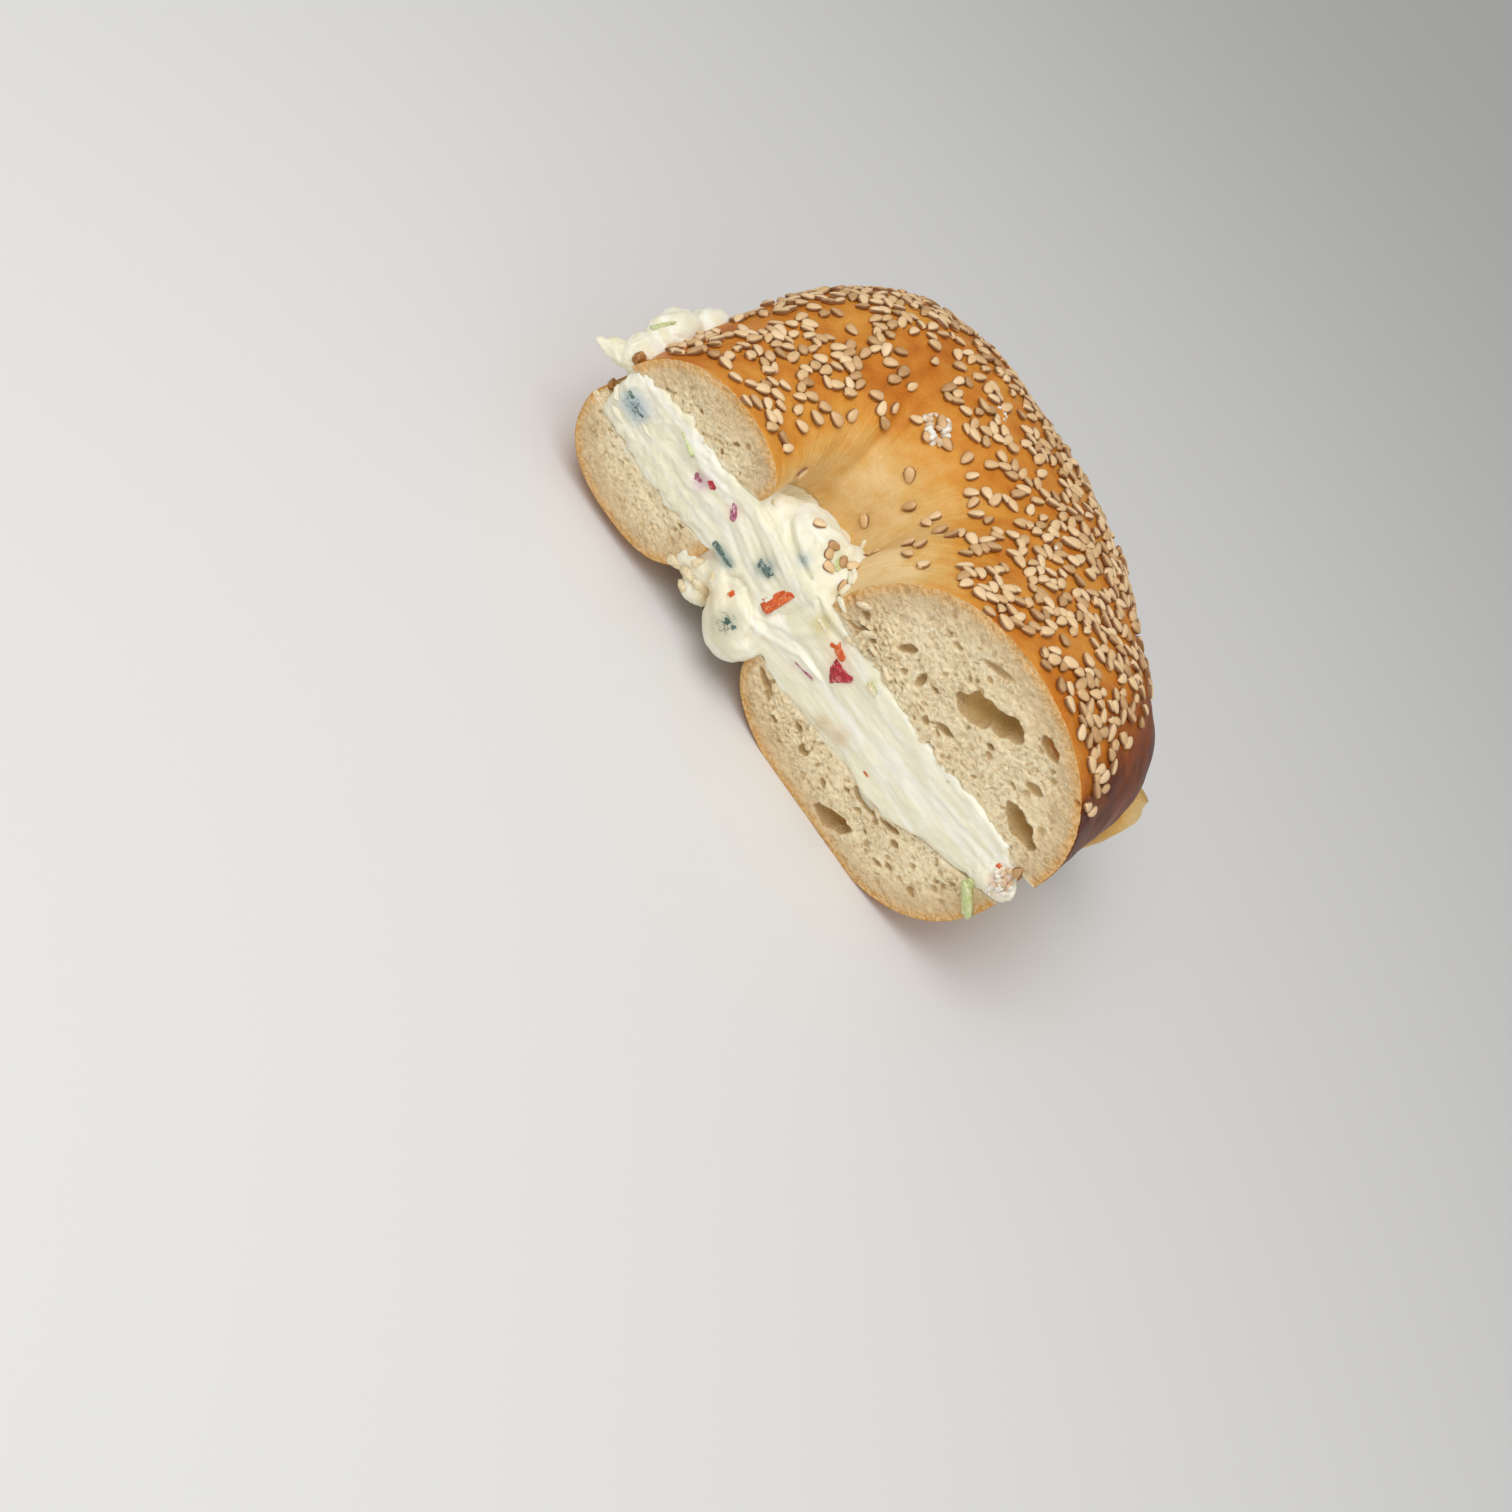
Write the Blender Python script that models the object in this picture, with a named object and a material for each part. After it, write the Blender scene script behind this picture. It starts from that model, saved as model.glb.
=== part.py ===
"""Half of a sesame bagel with vegetable cream cheese, lying on its heel.

The bagel is a ring of sections between its hole and its outline. Stations run from the knife's
right cut (0) round the back (0.5) to its left cut (1). Both cuts lie in one upright plane.
Sizes that change round the ring are given as (right cut, back, left cut).
"""
import math
import random

import bmesh
import bpy
from mathutils import Matrix, Vector, noise

# Driving dimensions, in millimetres
OUTLINE_CENTRE = 1.4         # the bagel's outline in plan, along the cut
OUTLINE_HALF_WIDTH = 60.0
OUTLINE_DEPTH = 84.5         # how far behind the cut it reaches
OUTLINE_LEAN = -18.0         # the back leans towards the thin arm
HOLE_CENTRE = -11.6          # the bagel's hole in plan, likewise
HOLE_HALF_WIDTH = 11.8
HOLE_DEPTH = 25.0
HOLE_LEAN = -4.0
PLAN_POWER = 2.6             # fullness of both curves, 2 is an ellipse
PLAN_CENTRE = (-1.52, 40.57) # middle of the whole piece's box, moved to the origin

CROWN_TOP = (60.6, 57.5, 44.2)
CROWN_POWER = 2.2
CROWN_LEAN = (0.0, 1.5, 4.0)            # the top leans in towards the hole
HEEL_EXTRA_HALF_WIDTH = (1.4, 0.6, 1.0)
HEEL_SHIFT = (-2.4, 1.0, 1.4)           # the heel sits off the crown, outwards
HEEL_SINK = 1.2                         # depth pressed flat where the heel rests
HEEL_LIFT = 4.2                         # the thin arm's underside clears the plate
HEEL_POWER = 2.4
LIP_REACH = 10.0                        # torn lip of the heel beyond the crown
LIP_RISE = 7.0                          # it curls up against the crown
LIP_STATION = 0.14
LIP_SPREAD = 0.052
LIP_SHARPNESS = 4            # power that keeps the lip at the outer edge
SHOULDER_REACH = 9.4                    # both breads bulge here on the outside
SHOULDER_STATION = 0.115
SHOULDER_SPREAD = 0.07
HOLE_BULGE = 3.0                        # the crown's thick arm swells into the hole here
HOLE_BULGE_STATION = 0.10
HOLE_BULGE_SPREAD = 0.08

UPPER_SEAM_INNER = (34.3, 27.0, 34.6)   # between crown and cheese
UPPER_SEAM_MIDDLE = (31.6, 32.0, 30.8)
UPPER_SEAM_OUTER = (34.0, 33.0, 28.6)
LOWER_SEAM_INNER = (13.8, 14.0, 18.6)   # between cheese and heel
LOWER_SEAM_MIDDLE = (16.2, 17.0, 16.6)
LOWER_SEAM_OUTER = (25.2, 23.0, 18.2)

FOLD_STATION = 0.60          # bare fold where two lobes of dough meet, on the side of the hole
FOLD_SPREAD = 0.04
FOLD_DEPTH = 3.0
PUFF = 0.045                 # unevenness of the crust, of the section's own size
PUFF_ROUND = 9.0             # swells round the ring
PUFF_OVER = 2.5              # swells over the crown
CRUST_NUDGE = 0.004          # step along the crust that its slope is taken over

GAP = 0.3                    # clearance between nodes that touch
BITE = 2.0                   # the cheese blank runs this far into the bread, then is cut back
CHEESE_RECESS = (2.5, 2.0, 0.8)

STATIONS = 25
CROWN_ARC = 18
HEEL_ARC = 13
SEAM_STEPS = 6

SEED_LENGTHS = (3.0, 3.7)
SEED_WIDTH = 0.62            # of the length
SEED_THICKNESS = 0.42        # of the length
SEED_TAPER = 0.45            # how much narrower the pointed end is
SEED_RISE = 0.25             # of the thickness, centre above the crust
SEED_COUNT = 200
SEED_TRIES = 40000
SEED_SPACING = 4.3
SEED_ABOVE_SEAM = 5.0
SEED_BEHIND_CUT = 2.4
SEED_FROM_CHEESE = 3.0
SEED_TURNS = (0.04, 0.80)    # from the outside over the top towards the hole
SEED_FADE = 0.3              # turns over which they thin out towards the hole
SEED_BARE_FOLD = 0.9         # share of them that the fold goes without
SEED_DRAW = 7

# Lumps of cheese: centre and radii
CHEESE_LUMPS = (
    ((-12.0, 12.0, 19.5), (16.0, 14.0, 13.5)),
    ((-11.0, 5.0, 21.0), (15.0, 6.5, 14.0)),
    ((-12.0, 6.5, 29.0), (12.5, 8.5, 9.5)),
    ((-9.5, 0.0, 13.5), (7.0, 5.0, 8.0)),
    ((-13.0, 20.0, 20.0), (12.0, 12.0, 10.0)),
    ((57.5, 0.3, 28.5), (5.5, 3.0, 3.8)),
    ((-60.5, 7.5, 26.5), (6.0, 6.5, 5.0)),
    ((-61.5, 16.0, 29.0), (5.2, 7.0, 5.6)),
    ((-60.0, 25.0, 30.0), (5.0, 7.0, 5.0)),
    ((-65.0, 3.5, 24.0), (4.4, 2.6, 2.2)),
)
LUMP_RELIEF = 0.12           # of the lump's own radius
LUMP_RELIEF_SPAN = 0.8

# Vegetable bits on the cut: place along the cut and up it, size, how proud, turn in degrees
VEGETABLE_BITS = (
    ((-51.5, 23.5), (7.0, 5.0), 0.7, 35),
    ((-33.2, 25.6), (3.6, 3.0), 0.7, 10),
    ((-25.4, 27.2), (2.0, 4.6), 1.4, -30),
    ((-21.6, 20.4), (2.2, 5.6), 1.8, 25),
    ((-7.4, 24.0), (7.2, 2.4), 2.2, 40),
    ((-13.9, 25.6), (3.6, 3.2), 2.4, 15),
    ((-10.5, 12.5), (3.4, 3.0), 4.9, 0),
    ((9.6, 25.4), (5.2, 4.6), 0.7, -20),
    ((28.2, 20.0), (2.0, 1.6), 0.7, 0),
)
BIT_DEPTH = 6.0

# Holes in the crumb on the cut: place along the cut and up it, radii, turn in degrees
CROWN_CAVITIES = (
    ((32.4, 48.0), (6.8, 3.4), -25),
    ((42.9, 53.6), (2.8, 1.2), 12),
    ((51.4, 39.4), (4.6, 2.0), 7),
)
HEEL_CAVITIES = (
    ((31.2, 4.6), (4.2, 2.1), -24),
    ((31.9, 13.4), (3.4, 1.3), 5),
)
CAVITY_DEPTH = 4.5

HEEL_LOOK = ((0.74, 0.50, 0.22), 0.6)   # colour and roughness
CROWN_LOOK = ((0.64, 0.35, 0.11), 0.45)
CHEESE_LOOK = ((0.88, 0.83, 0.64), 0.35)

METRES = 0.001


def clear_scene():
    for item in list(bpy.data.objects):
        bpy.data.objects.remove(item, do_unlink=True)


def new_collection(name):
    collection = bpy.data.collections.new(name)
    bpy.context.scene.collection.children.link(collection)
    return collection


def make_object(name, mesh, collection):
    """Turn an edited mesh in millimetres into an object in metres."""
    bmesh.ops.translate(mesh, vec=(-PLAN_CENTRE[0], -PLAN_CENTRE[1], 0.0), verts=mesh.verts)
    bmesh.ops.scale(mesh, vec=(METRES, METRES, METRES), verts=mesh.verts)
    data = bpy.data.meshes.new(name)
    mesh.to_mesh(data)
    mesh.free()
    item = bpy.data.objects.new(name, data)
    collection.objects.link(item)
    return item


def give_material(item, colour, roughness):
    material = bpy.data.materials.new(item.name)
    material.use_nodes = True
    material.diffuse_color = (*colour, 1.0)
    shader = material.node_tree.nodes["Principled BSDF"]
    shader.inputs["Base Color"].default_value = (*colour, 1.0)
    shader.inputs["Roughness"].default_value = roughness
    shader.inputs["Metallic"].default_value = 0.0
    item.data.materials.clear()
    item.data.materials.append(material)


def blend(station, sizes):
    """Size at a station from its values at the right cut, the back and the left cut."""
    right, back, left = sizes
    end = right if station < 0.5 else left
    return end + (back - end) * (1 - math.cos(2 * math.pi * station)) / 2


def bump(value, middle, spread):
    return math.exp(-((value - middle) / spread) ** 2)


def signed_power(value, power):
    return math.copysign(abs(value) ** power, value)


def shoulder(station, across):
    return SHOULDER_REACH * bump(station, SHOULDER_STATION, SHOULDER_SPREAD) * max(across, 0.0)


def hole_bulge(station, across):
    return HOLE_BULGE * bump(station, HOLE_BULGE_STATION, HOLE_BULGE_SPREAD) * min(across, 0.0)


def plan_curve(station, centre, half_width, depth, lean):
    """Point of a curve in plan that runs from the right cut round the back to the left cut."""
    angle = math.pi * station
    across = signed_power(math.cos(angle), 2 / PLAN_POWER)
    back = max(math.sin(angle), 0.0)
    x = centre + half_width * across + lean * back
    return Vector((x, depth * back ** (2 / PLAN_POWER), 0.0))


def ring_at(station):
    """Middle, outward direction and half-width of the ring's section at a station."""
    outer = plan_curve(station, OUTLINE_CENTRE, OUTLINE_HALF_WIDTH, OUTLINE_DEPTH, OUTLINE_LEAN)
    inner = plan_curve(station, HOLE_CENTRE, HOLE_HALF_WIDTH, HOLE_DEPTH, HOLE_LEAN)
    return (outer + inner) / 2, (outer - inner).normalized(), (outer - inner).length / 2


def seam(station, across, inner_sizes, middle_sizes, outer_sizes):
    """Height of a seam; across runs from -1 at the hole to 1 at the outside."""
    inner = blend(station, inner_sizes)
    middle = blend(station, middle_sizes)
    outer = blend(station, outer_sizes)
    tilt = (outer - inner) / 2
    sag = (outer + inner) / 2 - middle
    return middle + tilt * across + sag * across * across


def upper_seam(station, across):
    return seam(station, across, UPPER_SEAM_INNER, UPPER_SEAM_MIDDLE, UPPER_SEAM_OUTER)


def lip(station, across):
    """Share of the torn lip at a point of the heel's top."""
    return bump(station, LIP_STATION, LIP_SPREAD) * max(across, 0.0) ** LIP_SHARPNESS


def lower_seam(station, across):
    flat = seam(station, across, LOWER_SEAM_INNER, LOWER_SEAM_MIDDLE, LOWER_SEAM_OUTER)
    return flat + LIP_RISE * lip(station, across)


def crust_profile(station, turn, grow=0.0):
    """Reach and height on the crown's crust; turn 0 is the outer seam, 1 the one at the hole."""
    across = signed_power(math.cos(math.pi * turn), 2 / CROWN_POWER)
    rise = max(math.sin(math.pi * turn), 0.0) ** (2 / CROWN_POWER)
    puff = 1 + PUFF * noise.noise(Vector((PUFF_ROUND * station, PUFF_OVER * turn, 0.0)))
    fold = FOLD_DEPTH * bump(station, FOLD_STATION, FOLD_SPREAD) * turn
    base = upper_seam(station, across) - grow
    top = base + (blend(station, CROWN_TOP) - fold - base) * puff + grow
    half = ring_at(station)[2] * puff + grow
    reach = half * across - blend(station, CROWN_LEAN) * rise
    reach += shoulder(station, across) + hole_bulge(station, across)
    return reach, base + (top - base) * rise


def crown_section(station, grow):
    """Outline of the upper bread: over the crust from outside to inside, back along the seam."""
    points = [crust_profile(station, step / CROWN_ARC, grow) for step in range(CROWN_ARC + 1)]
    inner, outer = points[-1][0], points[0][0]
    for step in range(1, SEAM_STEPS):
        share = step / SEAM_STEPS
        height = upper_seam(station, 2 * share - 1) - grow
        points.append((inner + (outer - inner) * share, height))
    return points


def overhang(station, across):
    """How far the heel's torn lip and shoulder reach past its plain outline."""
    return LIP_REACH * lip(station, across) + shoulder(station, across)


def heel_section(station, grow):
    """Outline of the lower bread: under the heel from inside to outside, back along the seam."""
    half = ring_at(station)[2] + blend(station, HEEL_EXTRA_HALF_WIDTH) + grow
    shift = blend(station, HEEL_SHIFT)
    bottom = HEEL_LIFT * max(2 * station - 1, 0.0) ** 2 - HEEL_SINK
    points = []
    for step in range(HEEL_ARC + 1):
        angle = math.pi * step / HEEL_ARC
        across = -signed_power(math.cos(angle), 2 / HEEL_POWER)
        drop = max(math.sin(angle), 0.0) ** (2 / HEEL_POWER)
        top = lower_seam(station, across) + grow
        height = max(top - (top - bottom) * drop, 0.0) - grow * drop
        points.append((shift + half * across + overhang(station, across), height))
    for step in range(1, SEAM_STEPS):
        across = 1 - 2 * step / SEAM_STEPS
        reach = shift + half * across + overhang(station, across)
        points.append((reach, lower_seam(station, across) + grow))
    return points


def cheese_section(station, grow):
    """Outline of the cheese layer, deep enough to be cut back by both breads."""
    inner = -ring_at(station)[2]
    outer = grow - inner - blend(station, CHEESE_RECESS)
    points = []
    for step in range(SEAM_STEPS + 1):
        share = step / SEAM_STEPS
        height = upper_seam(station, 1 - 2 * share) + BITE
        points.append((outer + (inner - outer) * share, height))
    for step in range(SEAM_STEPS + 1):
        share = step / SEAM_STEPS
        height = lower_seam(station, 2 * share - 1) - BITE
        points.append((inner + (outer - inner) * share, height))
    return points


def loft(section, grow=0.0):
    """Join the sections round the ring into a closed solid with flat ends at the cut."""
    mesh = bmesh.new()
    rings = []
    for index in range(STATIONS):
        station = (1 - math.cos(math.pi * index / (STATIONS - 1))) / 2
        centre, out, _ = ring_at(station)
        if index in (0, STATIONS - 1):
            centre.y -= grow
        ring = []
        for reach, height in section(station, grow):
            ring.append(mesh.verts.new(centre + out * reach + Vector((0.0, 0.0, height))))
        rings.append(ring)
    count = len(rings[0])
    for first, second in zip(rings, rings[1:]):
        for index in range(count):
            after = (index + 1) % count
            mesh.faces.new((first[index], first[after], second[after]))
            mesh.faces.new((first[index], second[after], second[index]))
    mesh.faces.new(reversed(rings[0]))
    mesh.faces.new(rings[-1])
    bmesh.ops.recalc_face_normals(mesh, faces=mesh.faces)
    return mesh


def boolean(target, operation, collection):
    """Join the target with a collection's objects, or cut it by them, then remove them."""
    modifier = target.modifiers.new(operation.lower(), "BOOLEAN")
    modifier.operation = operation
    modifier.solver = "MANIFOLD"
    modifier.operand_type = "COLLECTION"
    modifier.collection = collection
    bpy.context.view_layer.objects.active = target
    bpy.ops.object.modifier_apply(modifier=modifier.name)
    for item in list(collection.objects):
        bpy.data.objects.remove(item, do_unlink=True)
    bpy.data.collections.remove(collection)


def keep_outer_shell(target):
    """Drop loose scraps and fill sealed hollows: only the largest shell stays."""
    mesh = bmesh.new()
    mesh.from_mesh(target.data)
    unseen = set(mesh.verts)
    shells = []
    while unseen:
        start = unseen.pop()
        stack, shell = [start], [start]
        while stack:
            neighbours = {vert for edge in stack.pop().link_edges for vert in edge.verts}
            fresh = neighbours & unseen
            unseen -= fresh
            stack.extend(fresh)
            shell.extend(fresh)
        shells.append(shell)
    shells.sort(key=len)
    for shell in shells[:-1]:
        bmesh.ops.delete(mesh, geom=shell, context="VERTS")
    mesh.to_mesh(target.data)
    mesh.free()


def cavity_cutters(cavities):
    cutters = new_collection("cavity cutters")
    for (x, z), (long_radius, short_radius), turn in cavities:
        mesh = bmesh.new()
        bmesh.ops.create_icosphere(mesh, subdivisions=2, radius=1.0)
        matrix = Matrix.Translation((x, 0.0, z)) @ Matrix.Rotation(math.radians(turn), 4, "Y")
        matrix = matrix @ Matrix.Diagonal((long_radius, CAVITY_DEPTH, short_radius, 1.0))
        bmesh.ops.transform(mesh, matrix=matrix, verts=mesh.verts)
        make_object("cavity", mesh, cutters)
    return cutters


def crust_point(station, turn):
    centre, out, _ = ring_at(station)
    reach, height = crust_profile(station, turn)
    return centre + out * reach + Vector((0.0, 0.0, height))


def crust_normal(station, turn):
    step = CRUST_NUDGE
    along = crust_point(station + step, turn) - crust_point(station - step, turn)
    around = crust_point(station, turn + step) - crust_point(station, turn - step)
    return along.cross(around).normalized()


def seed_mesh(length):
    """A teardrop, lying along X with its thickness along Z."""
    mesh = bmesh.new()
    bmesh.ops.create_icosphere(mesh, subdivisions=1, radius=0.5)
    for vert in mesh.verts:
        width = SEED_WIDTH * (1 - SEED_TAPER * (vert.co.x + 0.5))
        vert.co = Vector((vert.co.x, vert.co.y * width, vert.co.z * SEED_THICKNESS)) * length
    return mesh


def seed_share(station, turn):
    """Seeds are dense outside and on top, sparse towards the hole and nearly absent on the fold."""
    outer = min(max((SEED_TURNS[1] - turn) / SEED_FADE, 0.0), 1.0)
    bare = SEED_BARE_FOLD * bump(station, FOLD_STATION, FOLD_SPREAD) * min(2 * turn, 1.0)
    return outer * (1 - bare)


def near_cheese(point):
    for centre, radii in CHEESE_LUMPS:
        offset = point - Vector(centre)
        reach = [offset[axis] / (radii[axis] + SEED_FROM_CHEESE) for axis in range(3)]
        if Vector(reach).length < 1:
            return True
    return False


def scatter_seeds():
    """Press seeds into the crust, spread evenly by a spacing rule with a fixed draw."""
    seeds = new_collection("seeds")
    draw = random.Random(SEED_DRAW)
    places = []
    for _ in range(SEED_TRIES):
        station, turn = draw.random(), draw.uniform(*SEED_TURNS)
        if len(places) == SEED_COUNT or draw.random() > seed_share(station, turn):
            continue
        point = crust_point(station, turn)
        seam_height = upper_seam(station, math.cos(math.pi * turn))
        if point.y < SEED_BEHIND_CUT or point.z < seam_height + SEED_ABOVE_SEAM:
            continue
        if near_cheese(point):
            continue
        if any((point - place).length < SEED_SPACING for place in places):
            continue
        places.append(point)
        length = draw.uniform(*SEED_LENGTHS)
        normal = crust_normal(station, turn)
        mesh = seed_mesh(length)
        seat = point + normal * (SEED_RISE * SEED_THICKNESS * length)
        lay = normal.to_track_quat("Z", "X").to_matrix().to_4x4()
        spin = Matrix.Rotation(draw.uniform(0, 2 * math.pi), 4, "Z")
        bmesh.ops.transform(mesh, matrix=Matrix.Translation(seat) @ lay @ spin, verts=mesh.verts)
        make_object("seed", mesh, seeds)
    return seeds


def cheese_lumps():
    """Squeezed and knife-dragged lumps, as uneven balls."""
    lumps = new_collection("cheese lumps")
    for centre, radii in CHEESE_LUMPS:
        mesh = bmesh.new()
        bmesh.ops.create_icosphere(mesh, subdivisions=3, radius=1.0)
        for vert in mesh.verts:
            span = (vert.co + Vector(centre)) / LUMP_RELIEF_SPAN
            vert.co *= 1 + LUMP_RELIEF * noise.noise(span)
        matrix = Matrix.Translation(centre) @ Matrix.Diagonal((*radii, 1.0))
        bmesh.ops.transform(mesh, matrix=matrix, verts=mesh.verts)
        make_object("lump", mesh, lumps)
    return lumps


def vegetable_bits():
    """Blocks of chopped vegetable that stand a little out of the cut cheese."""
    bits = new_collection("vegetable bits")
    for (x, z), (width, height), proud, turn in VEGETABLE_BITS:
        mesh = bmesh.new()
        bmesh.ops.create_cube(mesh, size=1.0)
        place = Matrix.Translation((x, BIT_DEPTH / 2 - proud, z))
        matrix = place @ Matrix.Rotation(math.radians(turn), 4, "Y")
        matrix = matrix @ Matrix.Diagonal((width, BIT_DEPTH, height, 1.0))
        bmesh.ops.transform(mesh, matrix=matrix, verts=mesh.verts)
        make_object("bit", mesh, bits)
    return bits


def grown_breads():
    """Both breads with their clearance, which the cheese is cut back by."""
    breads = new_collection("grown breads")
    make_object("grown crown", loft(crown_section, GAP), breads)
    make_object("grown heel", loft(heel_section, GAP), breads)
    return breads


def make_bottom_bread(parts):
    heel = make_object("bottom_bread", loft(heel_section), parts)
    boolean(heel, "DIFFERENCE", cavity_cutters(HEEL_CAVITIES))
    give_material(heel, *HEEL_LOOK)


def make_top_bread(parts):
    crown = make_object("top_bread", loft(crown_section), parts)
    boolean(crown, "DIFFERENCE", cavity_cutters(CROWN_CAVITIES))
    boolean(crown, "UNION", scatter_seeds())
    keep_outer_shell(crown)
    give_material(crown, *CROWN_LOOK)


def make_cream_cheese(parts):
    cheese = make_object("cream_cheese", loft(cheese_section), parts)
    boolean(cheese, "UNION", cheese_lumps())
    boolean(cheese, "UNION", vegetable_bits())
    boolean(cheese, "DIFFERENCE", grown_breads())
    keep_outer_shell(cheese)
    give_material(cheese, *CHEESE_LOOK)


clear_scene()
bagel = new_collection("cream cheese bagel half")
make_bottom_bread(bagel)
make_top_bread(bagel)
make_cream_cheese(bagel)
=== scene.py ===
import math
import random

import bmesh
import bpy
import numpy as np
from mathutils import Matrix, Vector, geometry, noise
from mathutils.bvhtree import BVHTree


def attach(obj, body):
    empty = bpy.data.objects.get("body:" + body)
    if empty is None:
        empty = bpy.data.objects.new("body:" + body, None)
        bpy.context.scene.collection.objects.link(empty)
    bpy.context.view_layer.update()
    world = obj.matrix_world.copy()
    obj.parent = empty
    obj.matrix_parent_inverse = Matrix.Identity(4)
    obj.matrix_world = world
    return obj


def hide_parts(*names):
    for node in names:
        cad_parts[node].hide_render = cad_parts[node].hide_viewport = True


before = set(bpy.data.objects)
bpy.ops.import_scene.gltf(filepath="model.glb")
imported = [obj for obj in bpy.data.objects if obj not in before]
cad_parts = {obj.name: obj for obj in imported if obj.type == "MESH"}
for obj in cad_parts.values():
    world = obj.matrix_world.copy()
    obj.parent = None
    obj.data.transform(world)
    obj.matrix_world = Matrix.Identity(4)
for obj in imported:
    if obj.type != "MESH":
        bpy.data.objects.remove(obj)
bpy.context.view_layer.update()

# Camera, table and light
# The bagel half lies on a plain pale table under large soft lights. The photograph looks down at
# the cut, with the camera turned well over to one side, and the picture keeps that turn.
CAMERA_PLACE = Vector((0.03153, -0.28962, 0.21543))
CAMERA_AZIMUTH = math.radians(4)
CAMERA_ELEVATION = math.radians(41)
CAMERA_ROLL = math.radians(52)
CAMERA_LENS = 40.476
CAMERA_SENSOR = 36.0
CAMERA_RANGE = (0.01, 20.0)    # nearest and farthest that it sees, in metres
TABLE_SIZE = 6.0
TABLE_COLOUR = (226, 225, 223)
TABLE_ROUGHNESS = 0.6
LIGHT_REACH = 0.55
KEY_LIGHT = ((-0.20, -0.44, 0.94), 0.36, 1.6)     # the way to it, its size and its power
FILL_LIGHT = ((0.6, -0.8, 0.5), 0.6, 0.60)
SKY_COLOUR = (1.0, 1.0, 1.0, 1.0)
SKY_STRENGTH = 0.43


def photo_axes():
    """Right, up and back of the photograph, as directions in the frame."""
    flat = math.cos(CAMERA_ELEVATION)
    back = Vector((math.sin(CAMERA_AZIMUTH) * flat, -math.cos(CAMERA_AZIMUTH) * flat,
                   math.sin(CAMERA_ELEVATION)))
    right = Vector((0, 0, 1)).cross(back).normalized()
    up = back.cross(right)
    turn, lift = math.cos(CAMERA_ROLL), math.sin(CAMERA_ROLL)
    return right * turn + up * lift, up * turn - right * lift, back


def linear(red, green, blue):
    """A display colour, 0 to 255, as the linear colour that shaders take."""
    def channel(value):
        value /= 255
        return value / 12.92 if value <= 0.04045 else ((value + 0.055) / 1.055) ** 2.4
    return channel(red), channel(green), channel(blue), 1.0


def new_material(name):
    material = bpy.data.materials.new(name)
    material.use_nodes = True
    return material, material.node_tree, material.node_tree.nodes["Principled BSDF"]


def place_light(name, stand, size, power):
    light = bpy.data.lights.new(name, "AREA")
    light.size, light.energy = size, power
    item = bpy.data.objects.new(name, light)
    direction = Vector(stand).normalized()
    item.location = direction * LIGHT_REACH
    item.rotation_mode = "QUATERNION"
    item.rotation_quaternion = direction.to_track_quat("Z", "Y")
    bpy.context.scene.collection.objects.link(item)


def make_camera():
    right, up, back = photo_axes()
    camera = bpy.data.cameras.new("photo camera")
    camera.lens, camera.sensor_width = CAMERA_LENS, CAMERA_SENSOR
    camera.clip_start, camera.clip_end = CAMERA_RANGE
    item = bpy.data.objects.new("photo camera", camera)
    item.matrix_world = Matrix.Translation(CAMERA_PLACE) @ Matrix((right, up, back)).transposed().to_4x4()
    bpy.context.scene.collection.objects.link(item)
    bpy.context.scene.camera = item


def make_table():
    data = bpy.data.meshes.new("table_top")
    half = TABLE_SIZE / 2
    corners = [(-half, -half, 0), (half, -half, 0), (half, half, 0), (-half, half, 0)]
    data.from_pydata(corners, [], [(0, 1, 2, 3)])
    material, _, shader = new_material("table_top")
    shader.inputs["Base Color"].default_value = linear(*TABLE_COLOUR)
    shader.inputs["Roughness"].default_value = TABLE_ROUGHNESS
    data.materials.append(material)
    item = bpy.data.objects.new("table_top", data)
    bpy.context.scene.collection.objects.link(item)


make_camera()
make_table()
place_light("key light", *KEY_LIGHT)
place_light("fill light", *FILL_LIGHT)
world = bpy.data.worlds.new("studio")
world.use_nodes = True
sky = world.node_tree.nodes["Background"].inputs
sky["Color"].default_value, sky["Strength"].default_value = SKY_COLOUR, SKY_STRENGTH
bpy.context.scene.world = world
bpy.context.scene.view_settings.view_transform = "Standard"

# Crown
# The upper half of a baked ring of dough, split flat and then cut in two: a thin golden crust,
# smooth and dark low on the outside, pale in the hole, round a soft crumb full of small pores.
# Sizes that change round the ring are given at the right cut, the back and the left cut.
MILLIMETRE = 0.001                           # shapes are made in millimetres, then scaled
PLAN_CENTRE = Vector((-1.52, 40.57, 0.0))    # where the frame's origin lies in them
OUTLINE = (1.4, 60.0, 84.5, -18.0)           # centre, half-width, depth, lean, in millimetres
HOLE = (-11.6, 11.8, 25.0, -4.0)
PLAN_POWER = 2.6                             # of the rounded outline, 2 is an ellipse
CROWN_TOP = (60.6, 57.5, 44.2)
CROWN_POWER = 2.2
CROWN_LEAN = (0.0, 1.5, 4.0)
SHOULDER = (9.4, 0.115, 0.07)                # reach, station, spread
HOLE_BULGE = (3.0, 0.10, 0.08)
UPPER_SEAM = ((34.3, 27.0, 34.6), (31.6, 32.0, 30.8), (34.0, 33.0, 28.6))   # inner, middle, outer
FOLD = (3.0, 0.60, 0.04)                     # depth, station, spread
PUFF, PUFF_ROUND, PUFF_OVER = 0.045, 9.0, 2.5   # unevenness, and its pace round and over the ring
CROWN_STATIONS = 260
CROWN_STEPS = 96
SEAM_STEPS = 30
BREAD_LAYERS = ("station", "turn", "rim", "pore", "smear")
CRUST_SIDE = -2.0                            # the rim distance all over the crust
FAR = 99.0                                   # for a distance that doesn't count
CUT_NET = 0.235                              # spacing of points on a cut
CUT_ROWS = 0.866                             # spacing of their rows, as a share of it
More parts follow.
